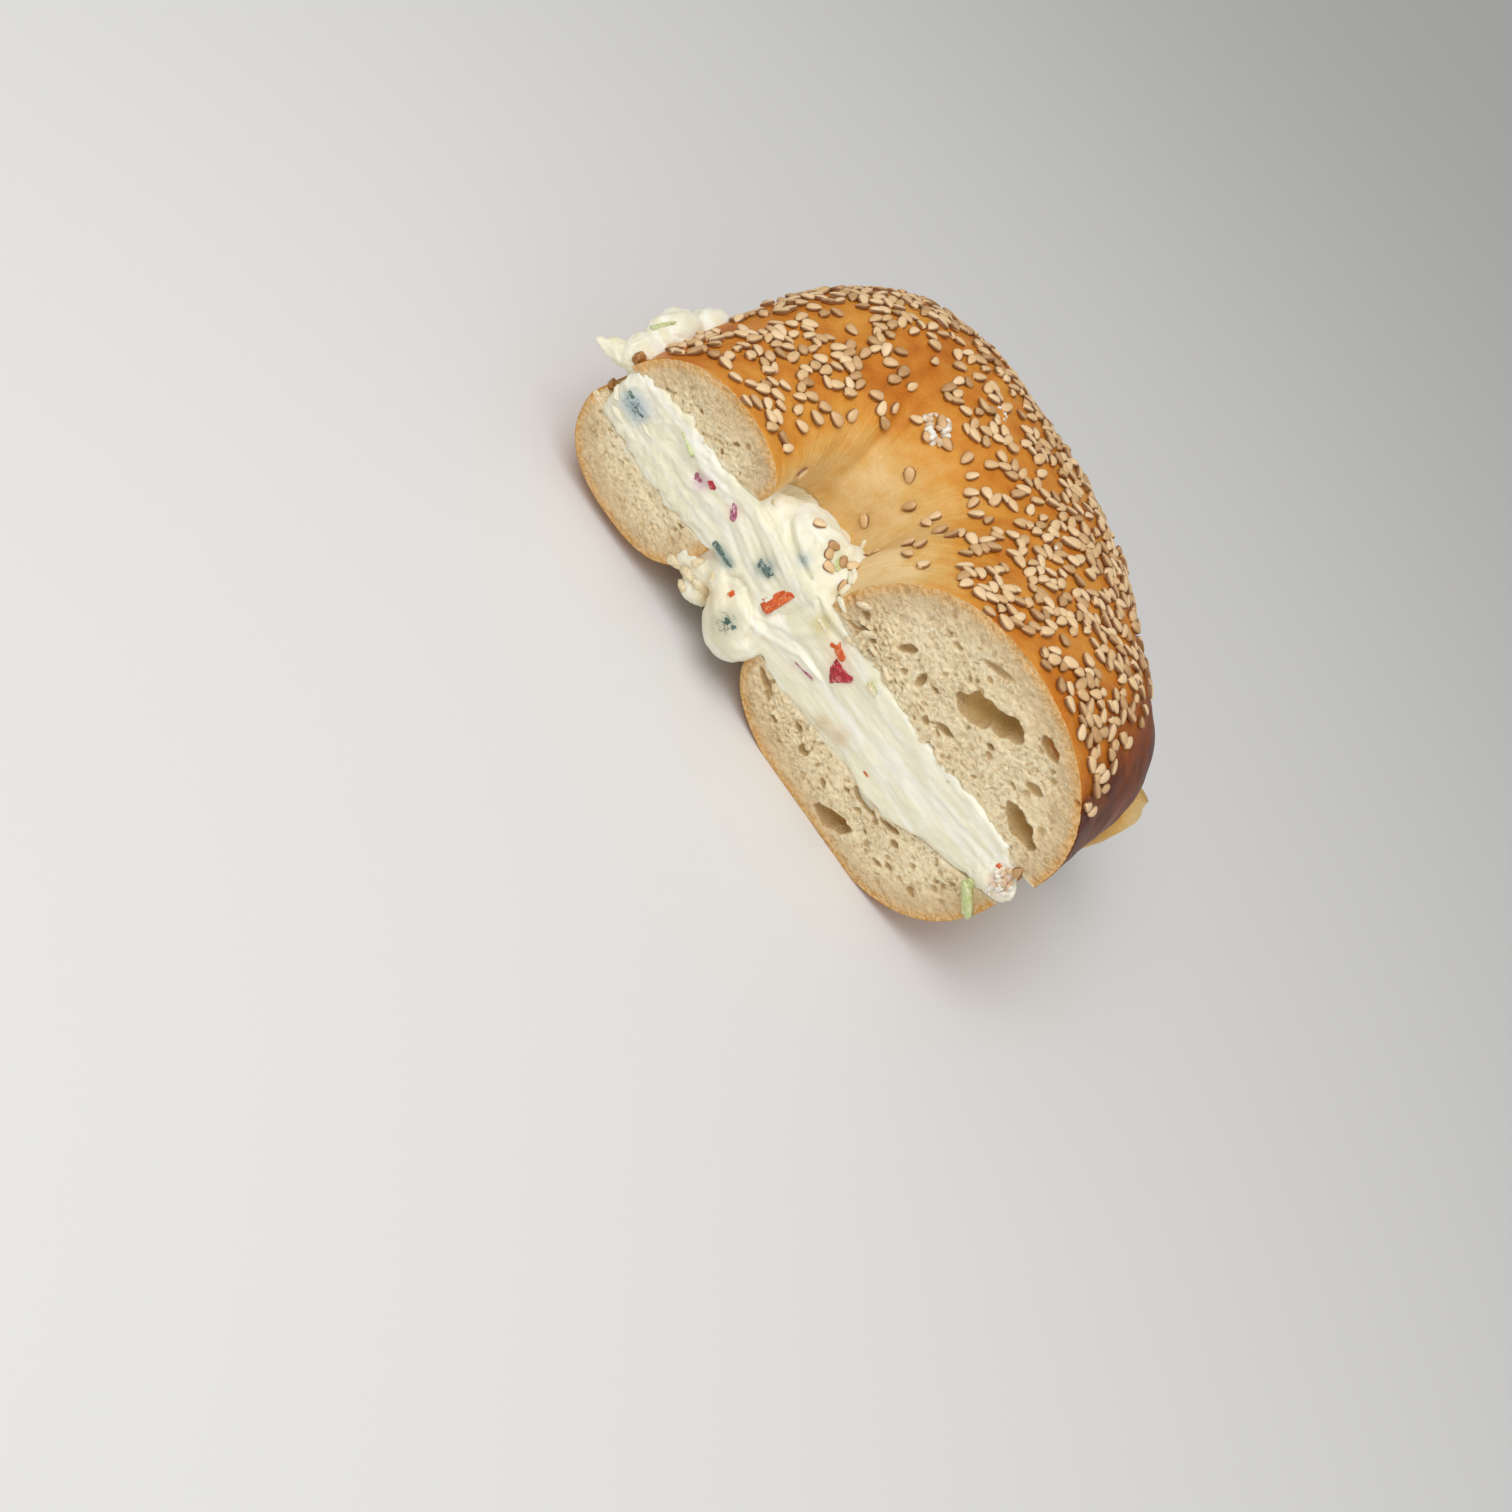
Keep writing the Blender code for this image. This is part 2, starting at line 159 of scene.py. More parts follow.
# Holes on the cut: place along it and up it, radii, turn in degrees, depth
CROWN_CAVITIES = (
    ((30.2, 46.6), (4.8, 3.4), -25, 5.0),
    ((35.0, 49.0), (4.6, 2.7), -20, 5.5),
    ((43.0, 54.0), (3.1, 1.3), 12, 3.0),
    ((47.2, 46.4), (2.2, 1.1), -24, 1.4),
    ((51.4, 39.5), (4.9, 2.1), 7, 4.5),
    ((53.5, 52.1), (1.2, 0.7), -10, 1.2),
    ((26.6, 54.7), (4.4, 1.0), -21, 0.8),
    ((29.7, 38.2), (2.3, 0.9), -16, 1.5),
    ((36.8, 44.3), (1.0, 0.7), -16, 1.2),
    ((20.0, 40.5), (2.2, 1.0), 80, 1.3),
    ((14.4, 42.5), (2.4, 1.1), -52, 1.4),
    ((5.2, 36.2), (2.2, 1.0), -27, 1.8),
)
# Small pores: spacing, share of the spacing that one fills at most, depth, share of the places with one
CRUMB_PORES = ((1.25, 0.46, 0.30, 0.85), (2.3, 0.40, 0.55, 0.50), (4.4, 0.27, 1.1, 0.40))
PORE_NARROWING = 0.8                         # along the cut, so that pores are longer that way
PORE_SWAY, PORE_SWAY_SIZE = 0.55, 1.6        # how far and over what length their places waver
LOZENGE = 1.7                                # power of a cavity's outline, 2 is an ellipse
TORN_PLACE, TORN_SPREAD = 10, 11             # where along the cut the crumb tore beside the hole
CRUMB_SET_BACK = 0.1                         # of the soft crumb behind the cut
CAVITY_REACH = 1.4                           # of its long radius, past which a cavity can't open
HOLE_WALL_SHADE = 4.5                          # how much nearer the crust a hole's wall is coloured, as painted shade in the holes
WALL_STATION, WALL_SPREAD = 0.095, 0.09      # the low outer wall that bulges out, dark and bare
TOAST_MIDDLE, TOAST_LOW, TOAST_HOLE = 0.47, 0.46, 0.44   # on top, more low outside, less in the hole
CUT_TOAST = 0.3                              # kept on the cut and the split, where it doesn't show
SEED_FREE_EDGE = 0.9                         # along the cut, bare of seeds
BARE_SHARE = 0.14                            # of the seeds, where they lie thinnest
# Crust from hardly baked to darkest
CRUST_STEPS = (
    (0.00, linear(236, 204, 148)),
    (0.16, linear(226, 182, 108)),
    (0.36, linear(218, 152, 62)),
    (0.56, linear(198, 118, 36)),
    (0.78, linear(142, 70, 16)),
    (1.00, linear(90, 36, 5)),
)
CRUMB_BRIGHT, CRUMB_DULL = linear(255, 243, 210), linear(238, 213, 168)
# The cell, pore and cavity colours are painted shade, darker where the crumb is hollow
CRUMB_CELL_SHADE, CRUMB_BY_CRUST = linear(205, 174, 124), linear(200, 162, 110)
CRUMB_PORE_SHADE, CRUMB_CAVITY_SHADE = linear(182, 146, 90), linear(214, 178, 112)
CRUMB_CREAMY = linear(244, 236, 210)
RIM_TOASTED, RIM_PALE = linear(214, 160, 88), linear(234, 196, 142)
CRUST_ROUGHNESS, CRUMB_ROUGHNESS = 0.42, 0.9
BREAD_SPECULAR = 0.14
CELL_PUSH = (0.0016, 0.0016, 0.0016)         # metres that noise moves the cells' walls


def along_ring(station, sizes):
    """Size at a station from its values at the right cut, the back and the left cut."""
    right, back, left = sizes
    end = right if station < 0.5 else left
    return end + (back - end) * (1 - math.cos(2 * math.pi * station)) / 2


def bump(value, middle, spread):
    return math.exp(-((value - middle) / spread) ** 2)


def ease(value, start, end):
    """Smooth rise from 0 at start to 1 at end."""
    share = min(max((value - start) / (end - start), 0.0), 1.0)
    return share * share * (3 - 2 * share)


def signed_power(value, power):
    return math.copysign(abs(value) ** power, value)


def plan_curve(station, centre, half_width, depth, lean):
    angle = math.pi * station
    across = signed_power(math.cos(angle), 2 / PLAN_POWER)
    back = max(math.sin(angle), 0.0)
    return Vector((centre + half_width * across + lean * back, depth * back ** (2 / PLAN_POWER), 0.0))


def ring_at(station):
    """Middle, outward direction and half-width of the ring's section at a station."""
    outer, inner = plan_curve(station, *OUTLINE), plan_curve(station, *HOLE)
    return (outer + inner) / 2, (outer - inner).normalized(), (outer - inner).length / 2


def seam(station, across, sizes):
    """Height of a seam; across runs from -1 at the hole to 1 at the outside."""
    inner, middle, outer = (along_ring(station, size) for size in sizes)
    return middle + (outer - inner) / 2 * across + ((outer + inner) / 2 - middle) * across * across


def shoulder(station, across):
    return SHOULDER[0] * bump(station, SHOULDER[1], SHOULDER[2]) * max(across, 0.0)


def crust_profile(station, turn):
    """Reach and height on the crown's crust; turn 0 is the outer seam, 1 the one at the hole."""
    across = signed_power(math.cos(math.pi * turn), 2 / CROWN_POWER)
    rise = max(math.sin(math.pi * turn), 0.0) ** (2 / CROWN_POWER)
    puff = 1 + PUFF * noise.noise(Vector((PUFF_ROUND * station, PUFF_OVER * turn, 0.0)))
    fold = FOLD[0] * bump(station, FOLD[1], FOLD[2]) * turn
    base = seam(station, across, UPPER_SEAM)
    top = base + (along_ring(station, CROWN_TOP) - fold - base) * puff
    reach = ring_at(station)[2] * puff * across - along_ring(station, CROWN_LEAN) * rise
    reach += shoulder(station, across)
    reach += HOLE_BULGE[0] * bump(station, HOLE_BULGE[1], HOLE_BULGE[2]) * min(across, 0.0)
    return reach, base + (top - base) * rise


def crown_section(station):
    """Reach, height and turn round the crown's section; along the seam the turn is -1."""
    turns = [step / CROWN_STEPS for step in range(CROWN_STEPS + 1)]
    points = [(*crust_profile(station, turn), turn) for turn in turns]
    inner, outer = points[-1][0], points[0][0]
    for step in range(1, SEAM_STEPS):
        share = step / SEAM_STEPS
        points.append((inner + (outer - inner) * share, seam(station, 2 * share - 1, UPPER_SEAM), -1.0))
    return points


def even_stations(count):
    """Stations that lie evenly along the outline."""
    fine = np.linspace(0, 1, 6001)
    places = np.array([plan_curve(station, *OUTLINE) for station in fine])
    gone = np.concatenate([[0], np.cumsum(np.linalg.norm(np.diff(places, axis=0), axis=1))])
    return np.interp(np.linspace(0, gone[-1], count), gone, fine)


def inside_outline(points, outline):
    """Which points of the cut lie inside a closed outline."""
    inside = np.zeros(len(points), bool)
    for (x1, z1), (x2, z2) in zip(outline, np.roll(outline, -1, axis=0)):
        if z1 != z2:
            crosses = (z1 > points[:, 1]) != (z2 > points[:, 1])
            inside ^= crosses & (points[:, 0] < (x2 - x1) * (points[:, 1] - z1) / (z2 - z1) + x1)
    return inside


def pore_depth(x, z, tightness):
    """How deep the small pores open at a point of the cut, in millimetres: uneven round dimples."""
    aside = noise.noise(Vector((x / PORE_SWAY_SIZE, 1.0, z / PORE_SWAY_SIZE)))
    above = noise.noise(Vector((x / PORE_SWAY_SIZE, 7.0, z / PORE_SWAY_SIZE)))
    place = Vector((x * PORE_NARROWING, 4.0, z)) + PORE_SWAY * Vector((aside, 0.0, above))
    depth = 0.0
    for spacing, width, deep, share in CRUMB_PORES:
        distances, centres = noise.voronoi(place / (spacing * tightness))
        luck = abs(noise.cell(centres[0] * 17.3))
        radius = width * (0.5 + 0.5 * luck / share)
        if luck < share and distances[0] < radius:
            depth = max(depth, deep * tightness * math.sqrt(1 - (distances[0] / radius) ** 2))
    return depth


def cavity_depth(x, z, cavities):
    """How deep the large holes open at a point of the cut, in millimetres."""
    depth = 0.0
    for (cx, cz), (long_radius, short_radius), turn, deep in cavities:
        angle = math.radians(turn)
        dx, dz = x - cx, z - cz
        if max(abs(dx), abs(dz)) > CAVITY_REACH * long_radius:
            continue
        along = abs(dx * math.cos(angle) - dz * math.sin(angle)) / long_radius
        aside = abs(dx * math.sin(angle) + dz * math.cos(angle)) / short_radius
        wobble = 1 + 0.30 * noise.noise(Vector((x / 2.2, deep, z / 2.2)))
        wobble += 0.06 * noise.noise(Vector((x, deep, z)))
        far = (along ** LOZENGE + aside ** LOZENGE) ** (1 / LOZENGE) / wobble
        if far < 1:
            depth = max(depth, deep * (1 - far * far))
    return depth


def distance_to(points, edge):
    """Distance of each point of the cut from the nearest point of an edge."""
    return np.concatenate([np.sqrt(((part[:, None] - edge[None]) ** 2).sum(-1)).min(1)
                           for part in np.array_split(points, 40)])


def crumb_pore(x, z, away, near, cavities, tightness):
    """Depth of the crumb's openings: small ones shallow by the crust and deeper near the filling."""
    inwards = 0.35 + 0.65 * ease(away, 1.5, 7)
    pore = pore_depth(x, z, tightness) * inwards * (1 + 0.7 * (1 - ease(near, 2, 9)))
    return max(pore, cavity_depth(x, z, cavities))


def crumb_swell(x, z, near):
    """How far the sliced crumb stands back from the cut: uneven, and shaggy where it tore."""
    swell = 0.5 * noise.noise(Vector((x / 6, 3.0, z / 6))) + 0.30 * noise.noise(Vector((x, 9.0, z)) / 1.5)
    swell += 0.16 * noise.noise(Vector((x, 5.0, z)) / 0.6)
    torn = bump(x, TORN_PLACE, TORN_SPREAD) * (1 - ease(near, 4, 13))
    shag = 1.1 * abs(noise.noise(Vector((x / 1.5, 2.0, z)))) + 0.5 * noise.noise(Vector((x, 3.0, z)) / 0.7)
    return swell - torn * shag


def cut_net(outline):
    """Places inside a cut's outline, spaced evenly in staggered rows, and how far each is from it."""
    low, high = outline.min(axis=0), outline.max(axis=0)
    rows = []
    for index, height in enumerate(np.arange(low[1], high[1], CUT_NET * CUT_ROWS)):
        row = np.arange(low[0] + CUT_NET / 2 * (index % 2), high[0], CUT_NET)
        rows.append(np.column_stack([row, np.full(len(row), height)]))
    net = np.concatenate(rows)
    net = net[inside_outline(net, outline)]
    to_edge = distance_to(net, outline)
    clear = to_edge > CUT_NET * 0.6
    return net[clear], to_edge[clear]


def fill_cut(mesh, ring, cavities, tightness):
    """Close a cut with an even net of points, pressed in at pores. Returns the rim, evenly spaced."""
    layers = mesh.verts.layers.float
    _, turn_layer, rim_layer, pore_layer, smear_layer = (layers[name] for name in BREAD_LAYERS)
    rim, starts = [], []
    for vert, after in zip(ring, ring[1:] + ring[:1]):
        starts.append(len(rim))
        rim.append(vert)
        if vert[turn_layer] < 0:
            vert[smear_layer] = 0.0
        parts = max(1, round((after.co - vert.co).length / CUT_NET))
        for part in range(1, parts):
            new = mesh.verts.new(vert.co.lerp(after.co, part / parts))
            for name in BREAD_LAYERS:
                new[layers[name]] = vert[layers[name]]
            if vert[turn_layer] < 0 or after[turn_layer] < 0:
                new[turn_layer], new[rim_layer], new[smear_layer] = -1.0, FAR, 0.0
            rim.append(new)
    outline = np.array([(vert.co.x, vert.co.z) for vert in rim])
    crust = np.array([(vert.co.x, vert.co.z) for vert in rim if vert[turn_layer] >= 0])
    split = np.array([(vert.co.x, vert.co.z) for vert in rim if vert[turn_layer] < 0])
    net, to_edge = cut_net(outline)
    inner = []
    for (x, z), edge, away, near in zip(net, to_edge, distance_to(net, crust), distance_to(net, split)):
        pore = crumb_pore(x, z, away, near, cavities, tightness) * ease(edge, 0.0, 0.8)
        swell = (crumb_swell(x, z, near) - CRUMB_SET_BACK) * ease(edge, 0.0, 1.0)
        new = mesh.verts.new((x, pore + swell, z))
        new[turn_layer], new[pore_layer], new[smear_layer] = -1.0, pore, near
        # Deep holes near the crust count as nearer it, so their walls take the darker toasted colours:
        # painted shade.
        new[rim_layer] = away - HOLE_WALL_SHADE * ease(pore, 0.7, 1.5) * (1 - ease(away, 5.0, 7.5))
        inner.append(new)
    count = len(rim)
    flat = [Vector(point) for part in (outline, net) for point in part]
    edges = [(index, (index + 1) % count) for index in range(count)]
    _, _, triangles, origins, _, _ = geometry.delaunay_2d_cdt(flat, edges, [], 1, 1e-5)
    known = rim + inner
    for triangle in triangles:
        corners = {known[origins[corner][0]] for corner in triangle}
        if len(corners) == 3:
            mesh.faces.new([known[origins[corner][0]] for corner in triangle])
    return rim, starts


def loft_bread(section, stations, cuts):
    """Join sections round the ring into a closed bread. cuts gives each cut's cavities and pore size."""
    mesh = bmesh.new()
    layers = mesh.verts.layers.float
    for name in BREAD_LAYERS:
        layers.new(name)
    station_layer, turn_layer, rim_layer, _, smear_layer = (layers[name] for name in BREAD_LAYERS)
    rings = []
    for station in stations:
        centre, out, _ = ring_at(station)
        ring = []
        for reach, height, turn in section(station):
            vert = mesh.verts.new(centre + out * reach + Vector((0.0, 0.0, height)))
            vert[station_layer], vert[turn_layer] = station, turn
            crust = 0.0 if station in (stations[0], stations[-1]) else CRUST_SIDE
            vert[rim_layer], vert[smear_layer] = crust if turn >= 0 else FAR, FAR
            ring.append(vert)
        rings.append(ring)
    count = len(rings[0])
    for first, second in zip(rings[1:-2], rings[2:-1]):
        for index in range(count):
            after = (index + 1) % count
            mesh.faces.new((first[index], first[after], second[after], second[index]))
    ends = ((rings[0], rings[1]), (rings[-1], rings[-2]))
    for (ring, nearest), (cavities, tightness) in zip(ends, cuts):
        rim, starts = fill_cut(mesh, ring, cavities, tightness)
        for index in range(count):
            after = (index + 1) % count
            end = starts[after] if after else len(rim)
            edge = rim[starts[index]:end] + [ring[after]]
            mesh.faces.new(edge + [nearest[after], nearest[index]])
    bmesh.ops.recalc_face_normals(mesh, faces=mesh.faces)
    bmesh.ops.triangulate(mesh, faces=[face for face in mesh.faces if len(face.verts) > 4])
    mesh.normal_update()
    return mesh


def dark_wall(station):
    """Share of the low outer wall that bulges out, dark and without seeds."""
    return bump(station, WALL_STATION, WALL_SPREAD)


def toasting(station, turn):
    """How far the crust has browned: 1 low on the outside, near 0 in the hole."""
    wall = 0.09 * dark_wall(station)
    low = (1 - ease(turn, 0.12 + wall, 0.32 + wall)) * (1 - 0.8 * ease(station, 0.55, 0.85))
    brown = TOAST_MIDDLE + TOAST_LOW * low - TOAST_HOLE * ease(turn, 0.62, 0.93)
    brown -= 0.10 * bump(station, 0.05, 0.10) * ease(turn, 0.6, 0.85)
    brown += 0.12 * bump(station, 0.66, 0.10) * bump(turn, 0.60, 0.14)
    brown += 0.10 * bump(station, 0.02, 0.04) * bump(turn, 0.42, 0.20)
    return brown


def crust_relief(point, station, turn):
    """Unevenness of the baked crust along its own normal, in millimetres."""
    slow = 0.30 * noise.noise(point / 7) + 0.12 * noise.noise(point / 2.6)
    drawn = Vector((station * 150, turn * 6, 4.0))
    creases = 0.16 * noise.noise(drawn) * ease(turn, 0.45, 0.75)
    return slow + creases + 0.04 * noise.noise(point / 0.9)


def paint_crown(mesh):
    """Browning and seed cover from each point's place on the crust, and the crust's fine relief."""
    layers = mesh.verts.layers.float
    layers.new("toast")
    layers.new("seeding")
    names = ("station", "turn", "toast", "seeding")
    station_layer, turn_layer, toast_layer, seeding_layer = (layers[name] for name in names)
    for vert in mesh.verts:
        station, turn = vert[station_layer], vert[turn_layer]
        if turn < 0:
            vert[toast_layer] = CUT_TOAST
            continue
        patchy = 0.13 * noise.noise(vert.co / 9) + 0.07 * noise.noise(vert.co / 3)
        vert[toast_layer] = toasting(station, turn) + patchy
        vert[seeding_layer] = seed_cover(vert.co, station, turn)
        if vert.co.y > 0.01:
            vert.co += vert.normal * crust_relief(vert.co, station, turn) * ease(vert.co.y, 0, 1.5)


def seed_cover(point, station, turn):
    """Share of the crust's places that carry a seed: thick outside and on top, bare on the fold."""
    if point.y < SEED_FREE_EDGE:
        return 0.0
    wall = 0.17 * dark_wall(station) - 0.05 * ease(station, 0.72, 0.92)
    late = 0.05 * bump(station, 0.18, 0.15)
    cover = ease(turn, 0.11 + wall, 0.17 + wall) * (1 - 0.93 * ease(turn, 0.56 + late, 0.80 + late))
    cover = max(cover, 0.62 * ease(turn, 0.5, 0.6) * (1 - ease(turn, 0.78, 0.90)) * bump(station, 0.18, 0.17))
    cover *= 1 - 0.97 * bump(station, 0.605, 0.032) * ease(turn, 0.44, 0.50)
    cover *= 1 - 0.95 * bump(station, 0.70, 0.05) * bump(turn, 0.56, 0.08)
    if point.x > 0:
        cover *= ease(point.y + 2.5 * noise.noise(point / 3), 1.0, 4.0)
    clumps = noise.noise(point / 4.2) + 0.5 * noise.noise(point / 9 + Vector((0, 0, 5)))
    return cover * (BARE_SHARE + (1 - BARE_SHARE) * ease(clumps, -0.42, -0.02))


def finished_object(name, mesh, material):
    """An object in the frame's place and in metres, from a mesh in the bagel's millimetres."""
    bmesh.ops.translate(mesh, vec=-PLAN_CENTRE, verts=mesh.verts)
    bmesh.ops.scale(mesh, vec=(MILLIMETRE,) * 3, verts=mesh.verts)
    data = bpy.data.meshes.new(name)
    mesh.to_mesh(data)
    mesh.free()
    data.shade_smooth()
    data.materials.append(material)
    item = bpy.data.objects.new(name, data)
    bpy.context.scene.collection.objects.link(item)
    return item


def wire(tree, kind, sockets, **settings):
    """Add a node. Each socket takes a value, or another node's output that is linked to it."""
    made = tree.nodes.new(kind)
    for name, value in settings.items():
        setattr(made, name, value)
    for name, value in sockets.items():
        if isinstance(value, bpy.types.NodeSocket):
            tree.links.new(value, made.inputs[name])
        else:
            made.inputs[name].default_value = value
    return made


def attribute(tree, name):
    return wire(tree, "ShaderNodeAttribute", {}, attribute_name=name).outputs["Fac"]


def grain(tree, scale, detail=4.0, roughness=0.5, stretch=(1.0, 1.0, 1.0)):
    """Noise in object space; scale is in features to the metre."""
    place = wire(tree, "ShaderNodeTexCoord", {}).outputs["Object"]
    place = wire(tree, "ShaderNodeMapping", {"Vector": place, "Scale": stretch}).outputs["Vector"]
    sockets = {"Vector": place, "Scale": scale, "Detail": detail, "Roughness": roughness}
    return wire(tree, "ShaderNodeTexNoise", sockets).outputs["Fac"]


def spread(tree, value, low, high, to_low=0.0, to_high=1.0):
    """Stretch a value's range low to high onto another, smoothly and clamped."""
    sockets = {"Value": value, 1: low, 2: high, 3: to_low, 4: to_high}
    return wire(tree, "ShaderNodeMapRange", sockets, interpolation_type="SMOOTHSTEP").outputs["Result"]


def colour_steps(tree, value, steps):
    """A colour ramp: steps are (place, colour)."""
    ramp = wire(tree, "ShaderNodeValToRGB", {"Fac": value})
    points = ramp.color_ramp.elements
    while len(points) < len(steps):
        points.new(0.5)
    for point, (place, colour) in zip(points, steps):
        point.position, point.color = place, colour
    return ramp.outputs["Color"]


def mix_colours(tree, share, first, second, blending="MIX"):
    sockets = {0: share, 6: first, 7: second}
    return wire(tree, "ShaderNodeMix", sockets, data_type="RGBA", blend_type=blending).outputs[2]


def sum_of(tree, *terms):
    """Sum of (value, weight) pairs."""
    total = 0.0
    for value, weight in terms:
        sockets = {0: value, 1: weight, 2: total}
        total = wire(tree, "ShaderNodeMath", sockets, operation="MULTIPLY_ADD").outputs["Value"]
    return total


def product(tree, first, second):
    return wire(tree, "ShaderNodeMath", {0: first, 1: second}, operation="MULTIPLY").outputs[0]


def soften(shader, weight, radius, depth):
    """Light that passes a little way into the food."""
    shader.inputs["Subsurface Weight"].default_value = weight
    shader.inputs["Subsurface Radius"].default_value = radius
    shader.inputs["Subsurface Scale"].default_value = depth


def roughen(tree, shader, height, strength, distance):
    """Fine relief of a surface, from the height of its grain."""
    relief = wire(tree, "ShaderNodeBump", {"Height": height, "Strength": strength, "Distance": distance})
    tree.links.new(relief.outputs["Normal"], shader.inputs["Normal"])


def cells(tree, scale):
    """Open cells of a crumb in object space: 0 on their walls, 1 in the middle of the larger ones."""
    place = wire(tree, "ShaderNodeTexCoord", {}).outputs["Object"]
    push = wire(tree, "ShaderNodeTexNoise", {"Vector": place, "Scale": 700.0, "Detail": 3.0}).outputs["Color"]
    sockets = {0: push, 1: CELL_PUSH, 2: place}
    place = wire(tree, "ShaderNodeVectorMath", sockets, operation="MULTIPLY_ADD").outputs[0]
    sockets = {"Vector": place, "Scale": scale}
    edge = wire(tree, "ShaderNodeTexVoronoi", sockets, feature="DISTANCE_TO_EDGE").outputs["Distance"]
    return spread(tree, edge, 0.05, 0.38)


def crumb_colour(tree, fine, open_cell, rim_distance):
    """Pale crumb: mottled, browner towards the crust, with painted shade in its cells, pores and holes,
    creamy by the filling.
    """
    crumb = mix_colours(tree, spread(tree, fine, 0.28, 0.68), CRUMB_DULL, CRUMB_BRIGHT)
    # Painted shade: the middles of the open cells are darker
    crumb = mix_colours(tree, open_cell, crumb, CRUMB_CELL_SHADE)
    tone = spread(tree, grain(tree, 130, 3, 0.5), 0.35, 0.65, 0.0, 0.3)
    crumb = mix_colours(tree, tone, crumb, CRUMB_DULL)
    nearness = sum_of(tree, (rim_distance, 1.0), (grain(tree, 160, 3), 6.0), (1.0, -3.0))
    crumb = mix_colours(tree, spread(tree, nearness, 1.5, 8.5, 0.48, 0.0), crumb, CRUMB_BY_CRUST)
    # Painted shade: pores get darker with their depth, and fine noise paints more small dark pores
    pore = sum_of(tree, (attribute(tree, "pore"), 1.0), (grain(tree, 2600, 3, 0.6), 0.5), (1.0, -0.25))
    crumb = mix_colours(tree, spread(tree, pore, 0.06, 0.6, 0.0, 0.72), crumb, CRUMB_PORE_SHADE)
    # Painted shade: the deep holes are darker
    cavity = spread(tree, attribute(tree, "pore"), 0.9, 3.5, 0.0, 0.8)
    crumb = mix_colours(tree, cavity, crumb, CRUMB_CAVITY_SHADE)
    smear = sum_of(tree, (attribute(tree, "smear"), 1.0), (grain(tree, 260, 4, 0.6), 5.0), (fine, 1.6),
                   (1.0, -2.4))
    return mix_colours(tree, spread(tree, smear, 0.0, 2.0, 0.85, 0.0), crumb, CRUMB_CREAMY)


def bread_material(name):
    """Crust by its toast attribute, and crumb inside the rim, with a toasted line between them."""
    material, tree, shader = new_material(name)
    toast = sum_of(tree, (attribute(tree, "toast"), 1.0), (grain(tree, 300, 5, 0.6), 0.30),
                   (grain(tree, 1500, 4, 0.65), 0.18))
    crust = colour_steps(tree, sum_of(tree, (toast, 1.0), (1.0, -0.24)), CRUST_STEPS)
    fine = grain(tree, 1500, 6, 0.7, (0.75, 1, 1))
    cell = sum_of(tree, (cells(tree, 560.0), 0.6), (cells(tree, 1150.0), 0.45))
    open_cell = product(tree, cell, spread(tree, grain(tree, 170, 3), 0.38, 0.62, 0.25, 0.95))
    rim_distance = attribute(tree, "rim")
    crumb = crumb_colour(tree, fine, open_cell, rim_distance)
    rim = sum_of(tree, (rim_distance, 1.0), (grain(tree, 1100, 4, 0.6), -1.1), (grain(tree, 200, 3), -0.9))
    toasted = mix_colours(tree, spread(tree, fine, 0.38, 0.60), RIM_TOASTED, RIM_PALE)
    crumb = mix_colours(tree, spread(tree, rim, -0.6, 1.7), toasted, crumb)
    inside = spread(tree, rim, -1.05, -0.85)
    tree.links.new(mix_colours(tree, inside, crust, crumb), shader.inputs["Base Color"])
    tree.links.new(spread(tree, inside, 0, 1, CRUST_ROUGHNESS, CRUMB_ROUGHNESS), shader.inputs["Roughness"])
    shader.inputs["Specular IOR Level"].default_value = BREAD_SPECULAR
    soften(shader, 0.12, (1.0, 0.6, 0.3), 0.0012)
    crust_height = sum_of(tree, (grain(tree, 700, 4, 0.55), 0.4), (grain(tree, 2400, 3, 0.6), 0.16))
    crumb_height = sum_of(tree, (fine, 0.5), (grain(tree, 3600, 3, 0.6), 0.4), (open_cell, -0.8))
    sockets = {0: inside, 2: crust_height, 3: crumb_height}
    height = wire(tree, "ShaderNodeMix", sockets, data_type="FLOAT").outputs[0]
    roughen(tree, shader, height, 0.85, 0.0005)
    return material


crown_mesh = loft_bread(crown_section, even_stations(CROWN_STATIONS), ((CROWN_CAVITIES, 1.0), ((), 0.6)))
paint_crown(crown_mesh)
bread_look = bread_material("bagel_bread")
crown = finished_object("crown", crown_mesh, bread_look)
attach(crown, "root")
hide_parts("top_bread")

# Sesame seeds
# Hulled white sesame, pressed into the wet dough before baking: flat teardrops about 3 mm long, the
# outer ones toasted a little, thick on the outside and the top and thin towards the hole.
SEED_LENGTH = 3.15
SEED_WIDTH, SEED_THICKNESS = 0.72, 0.40      # as shares of its length
SEED_SPACING = 1.78
SEED_MOST = 0.34                             # to the square millimetre, before the cover thins them
SEED_TILT = 0.24                             # radians, at most
SEED_SCALES = (0.84, 1.10)
SEED_RISE = 0.16                             # out of the crust, as a share of its length
SEED_RINGS, SEED_SIDES = 7, 10
SEED_TIP_SIDE = 0.9                          # gives the tips the rim's painted shade
PLACE_DRAW, TURN_DRAW, SIZE_DRAW, TINT_DRAW = 4, 11, 12, 13
SEED_TINTS = ((0.00, linear(246, 216, 172)), (0.45, linear(234, 198, 148)),
              (0.75, linear(220, 180, 128)), (1.00, linear(188, 144, 92)))
# Painted shade round each seed's rim, where it sinks into the crust
SEED_RIM_SHADE = linear(122, 74, 34)
SEED_ROUGHNESS = 0.42


